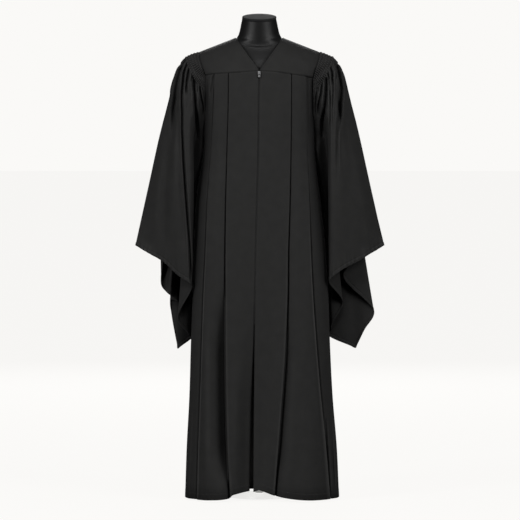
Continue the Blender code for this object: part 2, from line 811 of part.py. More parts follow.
def bevel(obj, width):
    change = obj.modifiers.new("edge", "BEVEL")
    change.width = width
    change.segments = 1
    change.limit_method = "ANGLE"
    change.angle_limit = math.radians(40)


def build_zip():
    for side, name in ((1, "zip_tape_right"), (-1, "zip_tape_left")):
        wall(name, tape_grid(side), TAPE, tape_cloth, flip=side > 0)
    mm = 0.001
    y = PULL_Y
    z = PULL_HEIGHT
    face = y + 1.3 * mm
    plate = box("zip_slider", (-4.0 * mm, face, z - 3.4 * mm), (4.0 * mm, face + 1.5 * mm, z + 5.6 * mm), solids)
    plate.data.materials.append(zip_metal)
    post = box("slider_post", (-1.1 * mm, face + 0.5 * mm, z - 1.5 * mm),
               (1.1 * mm, face + 6.6 * mm, z + 4.5 * mm), cutters)
    rear = box("slider_rear", (-3.6 * mm, face + 6.2 * mm, z - 3.0 * mm),
               (3.6 * mm, face + 7.3 * mm, z + 5.2 * mm), cutters)
    bridge = box("slider_bridge", (-1.1 * mm, y - 2.2 * mm, z - 2.4 * mm),
                 (1.1 * mm, face + 0.5 * mm, z + 5.0 * mm), cutters)
    window = box("slider_window", (-2.0 * mm, y - 1.3 * mm, z - 1.3 * mm), (2.0 * mm, face, z + 4.0 * mm), cutters)
    for tool in (post, rear, bridge):
        combine(plate, tool, "UNION")
    combine(plate, window, "DIFFERENCE")
    bevel(plate, 0.2 * mm)

    outline = ((-2.6, 0.6), (-3.0, -5.0), (-3.5, -11.0), (-2.4, -12.5), (2.4, -12.5), (3.5, -11.0), (3.0, -5.0),
               (2.6, 0.6))
    mesh = bpy.data.meshes.new("zip_pull")
    bm = bmesh.new()
    front = [bm.verts.new((a * mm, -0.6 * mm, b * mm)) for a, b in outline]
    rear_ring = [bm.verts.new((a * mm, 0.6 * mm, b * mm)) for a, b in outline]
    bm.faces.new(front)
    bm.faces.new(rear_ring[::-1])
    n = len(outline)
    for k in range(n):
        bm.faces.new((front[k], rear_ring[k], rear_ring[(k + 1) % n], front[(k + 1) % n]))
    bmesh.ops.recalc_face_normals(bm, faces=bm.faces)
    bm.to_mesh(mesh)
    bm.free()
    pull = add("zip_pull", mesh, zip_metal)
    slot = box("pull_window", (-1.7 * mm, -2 * mm, -5.2 * mm), (1.7 * mm, 2 * mm, -0.6 * mm), cutters)
    slot.location = (0.0, y, z)
    pull.location = (0.0, y, z)
    combine(pull, slot, "DIFFERENCE")
    bevel(pull, 0.2 * mm)


for old in list(bpy.data.objects):
    bpy.data.objects.remove(old, do_unlink=True)

solids = bpy.data.collections.new("choir_robe")
cutters = bpy.data.collections.new("cutters")
for made in (solids, cutters):
    bpy.context.scene.collection.children.link(made)

robe_cloth = material("robe_cloth", (0.016, 0.016, 0.018), 0.8)
tape_cloth = material("tape_cloth", (0.012, 0.012, 0.013), 0.85)
satin = material("form_satin", (0.020, 0.020, 0.022), 0.42)
cap_cloth = material("form_cap_cloth", (0.035, 0.035, 0.037), 0.5)
stand_metal = material("stand_metal", (0.75, 0.75, 0.74), 0.35)
zip_metal = material("zip_metal", (0.36, 0.36, 0.37), 0.35, 1.0)

build_form()

for side, word in ((1, "right"), (-1, "left")):
    wall("front_yoke_" + word, front_yoke_grid(side), CLOTH, robe_cloth, flip=side < 0)
    wall("front_" + word, front_grid(side), CLOTH, robe_cloth, flip=side < 0)

    ribs = RIGHT_RIBS if side > 0 else LEFT_RIBS

    def relief(r, c):
        if r < 4:
            return SMOCK_RISE * (c % 2) * min(ribs[c // RIB_STEPS][1] / 0.040, 1.0)
        return 0.0

    wall("sleeve_" + word, sleeve_grid(side), CLOTH, robe_cloth, closed=True, flip=side < 0, rise=relief)

wall("back_yoke", back_yoke_grid(), CLOTH, robe_cloth)
wall("back", back_grid(), CLOTH, robe_cloth)
build_zip()
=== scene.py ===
"""Looks of the choir robe with bell sleeves on its limbless dress form.

Metres, +Z up, the front faces -Y. Each cloth panel is a thin shell on the sheet of its solid, worked out
more finely from the same sizes, with the folds, gathers, creases and sewing of the real robe.
"""
import math

import bmesh
import bpy
import numpy as np
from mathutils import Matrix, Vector


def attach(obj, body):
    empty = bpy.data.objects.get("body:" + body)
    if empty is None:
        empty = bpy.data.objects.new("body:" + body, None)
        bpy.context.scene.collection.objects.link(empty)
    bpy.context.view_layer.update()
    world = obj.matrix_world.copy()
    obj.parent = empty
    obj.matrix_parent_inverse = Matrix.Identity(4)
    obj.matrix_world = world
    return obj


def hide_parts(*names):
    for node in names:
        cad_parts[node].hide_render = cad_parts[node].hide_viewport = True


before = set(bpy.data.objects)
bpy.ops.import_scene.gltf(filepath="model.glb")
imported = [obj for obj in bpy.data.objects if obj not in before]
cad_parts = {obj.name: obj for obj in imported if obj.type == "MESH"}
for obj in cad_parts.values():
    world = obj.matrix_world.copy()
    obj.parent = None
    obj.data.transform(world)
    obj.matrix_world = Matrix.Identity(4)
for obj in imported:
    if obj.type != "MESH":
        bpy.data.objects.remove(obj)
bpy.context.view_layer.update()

CLOTH = 0.0013
TAPE = 0.0010
SEAM = 0.0006

# Robe body: the outer line of each level section.
# Columns: height, front depth, back depth, roundness, step between the layers of a fold.
BODY = (
    (1.305, 0.1055, 0.0980, 2.50, 0.0019),
    (1.200, 0.1100, 0.1040, 2.50, 0.0020),
    (1.066, 0.1130, 0.1100, 2.45, 0.0022),
    (0.910, 0.1170, 0.1220, 2.75, 0.0027),
    (0.760, 0.1220, 0.1350, 2.90, 0.0034),
    (0.610, 0.1280, 0.1480, 2.90, 0.0041),
    (0.450, 0.1350, 0.1600, 2.80, 0.0048),
    (0.300, 0.1430, 0.1710, 2.70, 0.0056),
    (0.150, 0.1520, 0.1810, 2.60, 0.0066),
    (0.000, 0.1590, 0.1890, 2.60, 0.0076),
)
BODY_FRONT, BODY_BACK, BODY_ROUND, BODY_LAYER = 1, 2, 3, 4

# Columns: height, zip edge, inner fold edge, outer fold edge, half width; 1 is the +X side.
SIDES = {
    1: (
        (1.305, 0.0018, 0.0960, 0.1410, 0.1860),
        (1.204, -0.0002, 0.0959, 0.1433, 0.1740),
        (1.065, -0.0018, 0.0944, 0.1448, 0.1700),
        (0.914, -0.0064, 0.0915, 0.1512, 0.1860),
        (0.763, -0.0100, 0.0870, 0.1564, 0.2025),
        (0.612, -0.0124, 0.0849, 0.1641, 0.2110),
        (0.461, -0.0138, 0.0789, 0.1757, 0.2160),
        (0.309, -0.0150, 0.0690, 0.1900, 0.2240),
        (0.158, -0.0160, 0.0578, 0.2060, 0.2365),
        (0.000, -0.0170, 0.0469, 0.2190, 0.2435),
    ),
    -1: (
        (1.305, 0.0018, 0.0911, 0.1348, 0.1860),
        (1.204, 0.0025, 0.0920, 0.1378, 0.1740),
        (1.065, 0.0039, 0.0956, 0.1454, 0.1710),
        (0.914, 0.0084, 0.0993, 0.1561, 0.1920),
        (0.763, 0.0121, 0.1012, 0.1625, 0.2000),
        (0.612, 0.0146, 0.1012, 0.1698, 0.2040),
        (0.461, 0.0178, 0.1007, 0.1755, 0.2085),
        (0.309, 0.0218, 0.0989, 0.1810, 0.2130),
        (0.158, 0.0267, 0.0950, 0.1865, 0.2210),
        (0.000, 0.0294, 0.0875, 0.1905, 0.2260),
    ),
}
SIDE_ZIP, SIDE_INNER, SIDE_OUTER, SIDE_WIDE = 1, 2, 3, 4
# Knife pleats. Front: column of the fold edge, depth at the top and at the hem.
# Back: place of the fold edge at the top, how far it moves out to the hem, depth.
FRONT_FOLDS = ((SIDE_INNER, 0.034, 0.026), (SIDE_OUTER, 0.020, 0.024))
BACK_FOLDS = ((0.062, 0.030, 0.030), (0.118, 0.040, 0.026))

TOP = 1.296
YOKE_SEAM = {
    1: ((0.000, 1.3050), (0.050, 1.3018), (0.093, 1.2960), (0.132, 1.2902), (0.165, 1.2840)),
    -1: ((0.000, 1.3050), (0.058, 1.3010), (0.103, 1.2982), (0.141, 1.2955), (0.165, 1.2900)),
}
HEM = {
    1: ((0.0, 0.0370), (0.047, 0.0210), (0.090, 0.0120), (0.150, 0.0060), (0.215, 0.0055), (0.245, 0.0060)),
    -1: ((0.0, 0.0370), (0.080, 0.0230), (0.092, 0.0120), (0.150, 0.0060), (0.200, 0.0055), (0.245, 0.0060)),
}
BACK_SEAM_HEIGHT = 1.286
BACK_HEM_HEIGHT = 0.0090
SEAM_FADE = 0.12
HEM_FADE = 0.18

UNDERARM = 1.066
ARM_OPEN = 1.074
ARM_SHUT = 1.058
ARMHOLE = (
    (1.284, 0.1600),
    (1.216, 0.1575),
    (1.155, 0.1605),
    (1.110, 0.1640),
    (1.080, 0.1670),
    (1.066, 0.1685),
)

# Neck, shoulder and armhole lines of the yokes, on the +X side.
SHOULDER_LINE = (
    (0.0720, 0.004, 1.4050),
    (0.1090, 0.005, 1.3905),
    (0.1460, 0.005, 1.3760),
    (0.1840, 0.004, 1.3612),
)
V_NECK = (
    (0.0720, 0.0040, 1.4050),
    (0.0690, -0.0260, 1.4008),
    (0.0610, -0.0540, 1.3897),
    (0.0480, -0.0740, 1.3715),
    (0.0340, -0.0865, 1.3520),
    (0.0170, -0.0970, 1.3285),
    (0.0008, -0.1055, 1.3060),
)
FRONT_ARMHOLE = (
    (0.1840, 0.004, 1.3612),
    (0.1825, -0.024, 1.3500),
    (0.1765, -0.046, 1.3270),
    (0.1680, -0.058, 1.3040),
)
BACK_ARMHOLE = (
    (0.1840, 0.004, 1.3612),
    (0.1825, 0.030, 1.3500),
    (0.1765, 0.047, 1.3270),
    (0.1680, 0.058, 1.3040),
)
BACK_NECK = (
    (0.0720, 0.004, 1.4050),
    (0.0640, 0.036, 1.4010),
    (0.0380, 0.059, 1.3950),
    (0.0000, 0.067, 1.3925),
)

# Sleeve ribs. Columns: share of the way round the armhole from the shoulder forwards, width of the shirred
# band, then the rib's points under the band, at the elbow and at the cuff edge, in millimetres.
RIBS = {
    1: (
        (0.000, 0.047, (288, 10, 1170), (333, 5, 972), (381, 0, 773)),
        (0.060, 0.046, (267, -38, 1164), (306, -45, 967), (343, -28, 752)),
        (0.115, 0.042, (245, -68, 1155), (275, -72, 961), (300, -52, 727)),
        (0.160, 0.036, (227, -80, 1149), (245, -86, 956), (257, -70, 705)),
        (0.195, 0.018, (213, -78, 1143), (219, -86, 950), (225, -80, 683)),
        (0.240, 0.008, (207, -62, 1137), (210, -70, 943), (212, -72, 667)),
        (0.340, 0.007, (200, -30, 1096), (222, -14, 912), (255, 18, 593)),
        (0.425, 0.007, (176, -36, 1052), (198, 2, 898), (222, 28, 528)),
        (0.465, 0.007, (174, -5, 1032), (198, 26, 888), (221, 40, 511)),
        (0.505, 0.007, (172, 36, 1022), (185, 54, 880), (212, 56, 495)),
        (0.565, 0.007, (193, 54, 1053), (232, 70, 879), (279, 56, 463)),
        (0.585, 0.007, (200, 58, 1063), (248, 74, 879), (296, 55, 456)),
        (0.602, 0.007, (205, 62, 1071), (256, 76, 884), (301, 55, 466)),
        (0.632, 0.008, (214, 70, 1085), (271, 78, 893), (323, 54, 512)),
        (0.680, 0.009, (229, 80, 1108), (291, 80, 909), (352, 50, 567)),
        (0.800, 0.026, (243, 84, 1149), (292, 60, 945), (258, 38, 679)),
        (0.880, 0.040, (266, 66, 1161), (315, 48, 959), (326, 20, 738)),
        (0.945, 0.045, (280, 40, 1168), (328, 30, 967), (357, 12, 757)),
    ),
    -1: (
        (0.000, 0.047, (288, 10, 1170), (333, 5, 972), (377, 0, 773)),
        (0.060, 0.046, (267, -38, 1164), (306, -45, 967), (333, -28, 748)),
        (0.115, 0.042, (245, -68, 1155), (275, -72, 961), (289, -50, 723)),
        (0.160, 0.036, (227, -80, 1149), (245, -86, 956), (246, -68, 684)),
        (0.195, 0.018, (210, -80, 1143), (210, -86, 950), (212, -77, 662)),
        (0.240, 0.008, (199, -64, 1137), (199, -70, 943), (204, -66, 648)),
        (0.340, 0.007, (198, -30, 1096), (220, -30, 912), (248, -22, 548)),
        (0.425, 0.007, (177, -36, 1052), (202, -10, 898), (215, -4, 503)),
        (0.465, 0.007, (175, -5, 1032), (202, 23, 888), (215, 25, 495)),
        (0.505, 0.007, (173, 36, 1022), (188, 54, 880), (205, 56, 488)),
        (0.565, 0.007, (194, 54, 1053), (228, 70, 879), (239, 53, 462)),
        (0.585, 0.007, (200, 58, 1063), (240, 74, 879), (250, 52, 454)),
        (0.605, 0.007, (206, 63, 1073), (249, 75, 885), (252, 53, 466)),
        (0.680, 0.009, (229, 80, 1108), (280, 76, 909), (271, 58, 603)),
        (0.740, 0.016, (237, 84, 1130), (270, 60, 925), (250, 34, 601)),
        (0.840, 0.034, (254, 76, 1154), (295, 62, 950), (297, 22, 646)),
        (0.930, 0.045, (278, 48, 1166), (322, 36, 965), (300, 14, 731)),
    ),
}
ARM_MIDDLE = np.array((0.165, 0.0, 1.220))
CROWN = 0.0110
FULL_BAND = 0.040
SMOCK_RISE = 0.0025
GATHER = 0.0010

# Dress form. Columns: height, half width, front, back, tilt, roundness.
FORM = (
    (1.4625, 0.0520, -0.0650, 0.0330, 0.215, 2.0),
    (1.4480, 0.0550, -0.0648, 0.0370, 0.18, 2.0),
    (1.4330, 0.0580, -0.0646, 0.0410, 0.13, 2.0),
    (1.4180, 0.0617, -0.0645, 0.0450, 0.09, 2.0),
    (1.4090, 0.0660, -0.0644, 0.0475, 0.05, 2.0),
    (1.4025, 0.0715, -0.0643, 0.0500, 0.02, 1.97),
    (1.3950, 0.0880, -0.0642, 0.0525, 0.00, 1.93),
    (1.3840, 0.1165, -0.0645, 0.0560, 0.00, 1.88),
    (1.3730, 0.1440, -0.0668, 0.0580, 0.00, 1.85),
    (1.3640, 0.1600, -0.0702, 0.0610, 0.00, 1.87),
    (1.3500, 0.1690, -0.0763, 0.0690, 0.00, 1.95),
    (1.3300, 0.1715, -0.0840, 0.0745, 0.00, 2.1),
    (1.3000, 0.1720, -0.0905, 0.0800, 0.00, 2.2),
    (1.2500, 0.1630, -0.0930, 0.0850, 0.00, 2.2),
    (1.2000, 0.1510, -0.0930, 0.0860, 0.00, 2.2),
    (1.1200, 0.1320, -0.0890, 0.0820, 0.00, 2.2),
    (1.0400, 0.1200, -0.0830, 0.0780, 0.00, 2.2),
    (0.9600, 0.1290, -0.0860, 0.0860, 0.00, 2.2),
    (0.8800, 0.1480, -0.0900, 0.0960, 0.00, 2.2),
    (0.8050, 0.1560, -0.0900, 0.1000, 0.00, 2.2),
    (0.7800, 0.1500, -0.0860, 0.0960, 0.00, 2.2),
)
CAP_HEIGHT = 0.006

ZIP_TOP = 1.3038
ZIP_END = 0.535
TAPE_WIDTH = 0.0100

BODY_NAME = "robe"


# Smooth curves.


def hermite(t):
    """Weights of a start, its slope, an end and its slope, at a share t of the way."""
    return 2 * t ** 3 - 3 * t ** 2 + 1, t ** 3 - 2 * t ** 2 + t, -2 * t ** 3 + 3 * t ** 2, t ** 3 - t ** 2


def curve(rows, at, column):
    """Smooth values of a table's column at places in its first column."""
    table = np.array([(row[0], row[column]) for row in rows], float)
    if table[0, 0] > table[-1, 0]:
        table = table[::-1]
    keys, values = table[:, 0], table[:, 1]
    slope = np.empty(len(keys))
    slope[1:-1] = (values[2:] - values[:-2]) / (keys[2:] - keys[:-2])
    slope[0] = (values[1] - values[0]) / (keys[1] - keys[0])
    slope[-1] = (values[-1] - values[-2]) / (keys[-1] - keys[-2])
    at = np.clip(np.asarray(at, float), keys[0], keys[-1])
    i = np.clip(np.searchsorted(keys, at, side="right") - 1, 0, len(keys) - 2)
    step = keys[i + 1] - keys[i]
    start, lead, end, trail = hermite((at - keys[i]) / step)
    return start * values[i] + lead * step * slope[i] + end * values[i + 1] + trail * step * slope[i + 1]


def ease(t):
    """Soft step from 0 to 1."""
    t = np.clip(t, 0.0, 1.0)
    return t * t * (3 - 2 * t)


def bell(x, middle, width):
    """One at the middle, falling off softly to both sides."""
    return np.exp(-((x - middle) / width) ** 2)


def unit(v):
    return v / np.maximum(np.linalg.norm(v, axis=-1, keepdims=True), 1e-12)


def spline(points, t):
    """Points on a smooth open curve, t counted in points."""
    points = np.array(points, float)
    t = np.atleast_1d(np.asarray(t, float))
    gaps = np.maximum(np.linalg.norm(np.diff(points, axis=0), axis=1), 1e-6) ** 0.5
    places = np.concatenate([[0.0], np.cumsum(gaps)])
    i = np.minimum(t.astype(int), len(points) - 2)
    at = places[i] + (places[i + 1] - places[i]) * (t - i)
    return np.stack([curve(list(zip(places, points[:, k])), at, 1) for k in range(3)], axis=-1)


def ring_points(knots, u):
    """Points on smooth closed curves through knots, one curve a row, u counted in knots."""
    n = knots.shape[1]
    i = np.floor(u).astype(int)
    p0, p1, p2, p3 = (knots[:, (i + k) % n] for k in (-1, 0, 1, 2))

    def gap(a, b):
        return np.maximum(np.linalg.norm(b - a, axis=-1, keepdims=True), 1e-5) ** 0.5

    d1, d2, d3 = gap(p0, p1), gap(p1, p2), gap(p2, p3)
    m1 = ((p1 - p0) / d1 - (p2 - p0) / (d1 + d2) + (p2 - p1) / d2) * d2
    m2 = ((p2 - p1) / d2 - (p3 - p1) / (d2 + d3) + (p3 - p2) / d3) * d2
    start, lead, end, trail = hermite((u - i)[None, :, None])
    return p1 * start + m1 * lead + p2 * end + m2 * trail


def between(at, run, points):
    """Points at lengths along a line whose own points lie at the lengths in run."""
    return np.stack([np.interp(at, run, points[:, k]) for k in range(3)], axis=1)


def edge_lengths(grid):
    """Each point's distance down its column from the first row, and from the last row."""
    length = np.cumsum(np.linalg.norm(np.diff(grid, axis=0), axis=2), axis=0)
    from_top = np.concatenate([np.zeros((1, grid.shape[1])), length])
    return from_top, from_top[-1] - from_top


# Soft relief.

WAVE_LEAN = 0.16


def waves(seed, count, low, high):
    """Random gentle waves: their lengths, leans, phases and weights."""
    rng = np.random.default_rng(seed)
    size = rng.uniform(low, high, count)
    lean = rng.uniform(-WAVE_LEAN, WAVE_LEAN, count)
    phase = rng.uniform(0, 2 * math.pi, count)
    weight = rng.uniform(0.5, 1.0, count)
    return size, lean, phase, weight / weight.sum()


def ripple(x, z, made):
    """Value between -1 and 1 of upright, uneven waves at x, z."""
    out = np.zeros(np.broadcast(x, z).shape)
    for size, lean, phase, weight in zip(*made):
        out += weight * np.sin(2 * math.pi * (x + lean * z) / size + phase)
    return out


# A crease fades out above its line over some of its widths, and has low shoulders on both sides.
TOP_FADE = 0.012
TROUGH_FADE = 2.2
RIDGE_FADE = 6.0
NARROW_CREASE = 0.008
SHOULDER_SHARE = 0.30
SHOULDER_RISE = 0.0022
WIDE_SHOULDER_SHARE = 0.09
SHOULDER_PLACE = 1.9
SHOULDER_SPREAD = 0.7


def creases(table, x, z):
    """Relief of upright creases along lines of points, from a table in millimetres."""
    out = np.zeros(np.broadcast(x, z).shape)
    for width, depth, foot, line in table:
        width, depth, foot = width / 1000, depth / 1000, foot / 1000
        line = np.array(line, float) / 1000
        line = line[np.argsort(line[:, 1])]
        away = (x - np.interp(z, line[:, 1], line[:, 0])) / width
        top = max(TOP_FADE, (TROUGH_FADE if depth > 0 else RIDGE_FADE) * width)
        fade = ease((z - line[0, 1] + foot) / foot) * ease((line[-1, 1] + top - z) / top)
        narrow = width < NARROW_CREASE
        share = min(SHOULDER_SHARE, SHOULDER_RISE / abs(depth)) if narrow else WIDE_SHOULDER_SHARE
        shape = np.exp(-away ** 2) - share * np.exp(-(np.abs(away) - SHOULDER_PLACE) ** 2 / SHOULDER_SPREAD)
        out += -depth * fade * shape
    return out


# Robe body sheets.


def on_outline(side, turn, wide, deep, power, height, lift, front):
    """Points of a level section, a rounded oblong, by their turn from the middle, moved out by lift."""
    s = np.sin(turn)
    c = np.maximum(np.cos(turn), 0.0)
    x = wide * np.sign(s) * np.abs(s) ** (2 / power)
    y = deep * c ** (2 / power)
    nx = np.sign(x) * np.abs(x / wide) ** (power - 1) / wide
    ny = (y / deep) ** (power - 1) / deep
    size = np.hypot(nx, ny)
    x = x + lift * nx / size
    y = y + lift * ny / size
    return np.stack([side * x, -y if front else y, np.broadcast_to(height, x.shape)], axis=-1)


def on_body(side, across, height, lift, front):
    """Points of the body's outer line, found by their distance from the middle, moved out by lift."""
    wide = curve(SIDES[side], height, SIDE_WIDE)
    deep = curve(BODY, height, BODY_FRONT if front else BODY_BACK)
    power = curve(BODY, height, BODY_ROUND)
    share = np.clip(across / wide, -1.0, 1.0)
    turn = np.arcsin(np.sign(share) * np.abs(share) ** (power / 2))
    return on_outline(side, turn, wide, deep, power, height, lift, front)


# The skirt sinks in at its middle and swells beside it, more and more from the waist down to the hem.
WAIST = 0.95
SINK_DEPTH = 0.020
SINK_WIDTH = 0.050
SWELL = 0.006
SWELL_PLACE = 0.140
SWELL_WIDTH = 0.045
BACK_WAVES = 42.0


def hollow(across, height, front):
    """Slow rise and fall of the skirt across its width."""
    low = ease((WAIST - height) / WAIST)
    if front:
        swell = SWELL * bell(across, SWELL_PLACE, SWELL_WIDTH)
        return low * (-SINK_DEPTH * bell(across, 0.0, SINK_WIDTH) + swell)
    return low * SWELL * np.cos(across * BACK_WAVES)


# Past the fold that covers it, a panel rises steeply in a groove and then slowly to the outer line.
GROOVE = np.array((0.0, 0.0008, 0.0016, 0.0025, 0.0035, 0.0048, 0.0065, 0.0090))
GROOVE_END = 0.0025
ZIP_STEPS = np.array((0.0, 0.0008, 0.0018, 0.0030, 0.0048))
ZIP_STEPS_END = 0.008
HIDDEN_COLUMNS = 4
GROOVED_COUNT = 16
ZIP_COUNT = 24
COVER = 0.0015
RISE = 0.032
RISE_SHARE = 0.92
STEEP_SHARE = 0.62
TUCK = 1.15

# A fold's edge springs up from the panel, and the outer one drops again over a short reach.
SPRING = 0.0013
SPRING_BASE = 0.3
SPRING_GROWTH = (1.5, 2.6)
SPRING_REACH = 0.012
DROP_FROM = 0.0027
DROP_SHARE = 2.4
DROP_MOST = 0.0060
DROP_POWER = 2.5


def panel(start, cover, last, lift, count, narrow):
    """A panel that stays under the fold that covers its start, then rises to the outer line."""
    away = np.linspace(start, last, count)
    clear = cover + COVER
    rise = min(RISE, (last - clear) * RISE_SHARE)
    if lift == 0 and count >= ZIP_COUNT:
        plain = np.linspace(start + ZIP_STEPS_END, last, count - len(ZIP_STEPS))
        away = np.concatenate([start + ZIP_STEPS, plain])
    if lift == 0 or count < GROOVED_COUNT:
        return away, lift * (1 - ease((away - clear) / rise))
    seen = np.linspace(clear + GROOVE[-1] + GROOVE_END, last, count - HIDDEN_COLUMNS - len(GROOVE))
    away = np.concatenate([np.linspace(start, cover, HIDDEN_COLUMNS), clear + GROOVE, seen])
    steep = 1 - ease((away - clear) / narrow)
    slow = 1 - ease((away - clear) / rise)
    return away, lift * TUCK * (STEEP_SHARE * steep + (1 - STEEP_SHARE) * slow)


def pleated(edge, folds, end, layer, counts, bend, under, narrow, springs, drops):
    """Distances from the middle and lifts across a panel with knife pleats, fold edges facing outwards."""
    r = layer / 2
    across = []
    lifts = []
    start = edge
    cover = edge
    lift = 0.0
    arc = np.linspace(math.pi / 2, -math.pi / 2, bend)[1:-1]
    for (tip, depth), count, spring, drop in zip(folds, counts, springs, drops):
        run = panel(start, cover, tip - r, lift, count, narrow)
        inner = tip - depth
        below = np.linspace(tip - r, inner + r, under)

        def sprung(away):
            near = np.maximum(0.0, 1 - (tip - r - away) / SPRING_REACH)
            return spring * ease(near) - drop * near ** DROP_POWER

        across += [run[0], tip - r + r * np.cos(arc), below, inner + r - r * np.cos(arc)]
        lifts += [run[1] + sprung(run[0]), -r + r * np.sin(arc) + spring - drop, -layer + sprung(below),
                  -1.5 * layer + r * np.sin(arc)]
        start = inner + r
        lift = -2 * layer
        cover = tip
    run = panel(start, cover, end, lift, counts[-1], narrow)
    return np.concatenate(across + [run[0]]), np.concatenate(lifts + [run[1]])


SIDE_SHARE = 0.985
ARM_SHARE = 0.9997
GROOVE_WIDTH = (0.0030, 0.0035)
SIDE_TUCK = (0.0005, 0.0012)


def body_row(side, height, front, fine):
    """One level row of half the front or back, from the middle to the side."""
    def read(table, column):
        return float(curve(table, height, column))

    sides = SIDES[side]
    wide = read(sides, SIDE_WIDE)
    power = read(BODY, BODY_ROUND)
    deep = read(BODY, BODY_FRONT if front else BODY_BACK)
    layer = read(BODY, BODY_LAYER)
    low = 1 - height / TOP
    if front:
        edge = read(sides, SIDE_ZIP)
        folds = [(read(sides, column), top + (foot - top) * low) for column, top, foot in FRONT_FOLDS]
        counts = fine["front"]
    else:
        edge = 0.0
        folds = [(place + out * low, depth) for place, out, depth in BACK_FOLDS]
        counts = fine["back"]
    open_arm = height > UNDERARM
    end = read(ARMHOLE, 1) if open_arm else wide * SIDE_SHARE
    narrow = GROOVE_WIDTH[0] + GROOVE_WIDTH[1] * float(ease(low * 1.4))
    springs = drops = (0.0, 0.0)
    if fine["sprung"]:
        springs = [SPRING * (SPRING_BASE + growth * low) for growth in SPRING_GROWTH]
        drops = (0.0, min(max(layer - DROP_FROM, 0.0) * DROP_SHARE, DROP_MOST))
    across, lift = pleated(edge, folds, end, layer, counts, fine["bend"], fine["under"], narrow,
                           springs, drops)
    line = on_body(side, across, height, lift + hollow(across, height, front), front)
    steps = np.arange(1, fine["side"] + 1) / fine["side"]
    last = across[-1]
    if open_arm:
        reach = np.minimum(last + fine["reach"] * steps, wide * ARM_SHARE)
        tail = on_body(side, reach, height, np.zeros(len(reach)), front)
    else:
        start = math.asin(min(last / wide, 1.0) ** (power / 2))
        turn = start + (math.pi / 2 - start) * steps
        tail = on_outline(side, turn, wide, deep, power, height, np.zeros(len(turn)), front)
        if front:
            tail[-1] += np.array((-SIDE_TUCK[0] * side, SIDE_TUCK[1], 0.0))
    return np.concatenate([line, tail])


def body_rows(side, heights, front, fine):
    """Level rows; those that close the armhole run straight between the rows above and below."""
    rows = []
    for height in heights:
        if ARM_SHUT < height < ARM_OPEN:
            t = (ARM_OPEN - height) / (ARM_OPEN - ARM_SHUT)
            upper = body_row(side, ARM_OPEN, front, fine)
            rows.append(upper * (1 - t) + body_row(side, ARM_SHUT, front, fine) * t)
        else:
            rows.append(body_row(side, height, front, fine))
    return np.array(rows)


def set_ends(grid, seam, hem):
    """Slides the rows so that the first lies on the seam and the last on the hem."""
    level = grid[..., 2]
    fade_top = np.maximum(0.0, 1 - (TOP - level) / SEAM_FADE)
    fade_hem = np.maximum(0.0, 1 - level / HEM_FADE)
    grid[..., 2] = level + (seam - SEAM - TOP) * fade_top + hem * fade_hem
    return grid


def front_sheet(side, heights, fine):
    grid = body_rows(side, heights, True, fine)
    away = np.abs(grid[..., 0])
    return set_ends(grid, curve(YOKE_SEAM[side], away, 1), curve(HEM[side], away, 1))


def back_sheet(heights, fine):
    left = body_rows(-1, heights, False, fine)
    right = body_rows(1, heights, False, fine)
    grid = np.concatenate([left[:, ::-1], right[:, 1:]], axis=1)
    return set_ends(grid, BACK_SEAM_HEIGHT, BACK_HEM_HEIGHT)


# Yoke sheets.

CORNER_SEAM = 0.160
CORNER = 0.1636
SHOULDER_GAP = SEAM / 2 + 0.0002
BACK_BOW = 0.75


def yoke_corner(side, front):
    """The yoke's low corner at the armhole, as on the +X side."""
    height = float(curve(YOKE_SEAM[side], CORNER_SEAM, 1)) if front else BACK_SEAM_HEIGHT
    p = on_body(side, np.array([CORNER]), height, np.zeros(1), front)[0]
    p[0] *= side
    return p


def front_yoke_sheet(side, v, u):
    """Front yoke spanned between its four edges; v goes down and u outwards, both from 0 to 1."""
    corner = yoke_corner(side, True)
    arm = list(FRONT_ARMHOLE) + [tuple(corner)]
    away = V_NECK[-1][0] + (corner[0] - V_NECK[-1][0]) * u
    height = curve(YOKE_SEAM[side], away, 1)
    bottom = np.array([on_body(side, np.array([a]), h, np.zeros(1), True)[0] for a, h in zip(away, height)])
    bottom[:, 0] = away
    top = spline(SHOULDER_LINE, u * (len(SHOULDER_LINE) - 1))
    left = spline(V_NECK, v * (len(V_NECK) - 1))
    right = spline(arm, v * (len(arm) - 1))
    left = left + (bottom[0] - left[-1]) * v[:, None]
    right = right + (bottom[-1] - right[-1]) * v[:, None]
    u = u[None, :, None]
    v = v[:, None, None]
    down = top[None] * (1 - v) + bottom[None] * v
    out = left[:, None] * (1 - u) + right[:, None] * u
    flat = (top[0] * (1 - u) + top[-1] * u) * (1 - v) + (bottom[0] * (1 - u) + bottom[-1] * u) * v
    grid = down + out - flat
    grid[..., 0] *= side
    grid[0, :, 1] -= SHOULDER_GAP
    return grid


def arched(top, low, v):
    """Points between two others on a quarter arch: level at the top, upright at the bottom."""
    out = np.sin(v * math.pi / 2)[..., 0]
    down = (1 - np.cos(v * math.pi / 2))[..., 0]
    level = top * (1 - v) + low * v
    bowed = np.stack([
        level[..., 0],
        top[..., 1] + (low[..., 1] - top[..., 1]) * out,
        top[..., 2] + (low[..., 2] - top[..., 2]) * down,
    ], axis=-1)
    return level * (1 - BACK_BOW) + bowed * BACK_BOW


NECK_COLUMNS = 5
YOKE_COLUMNS = 12


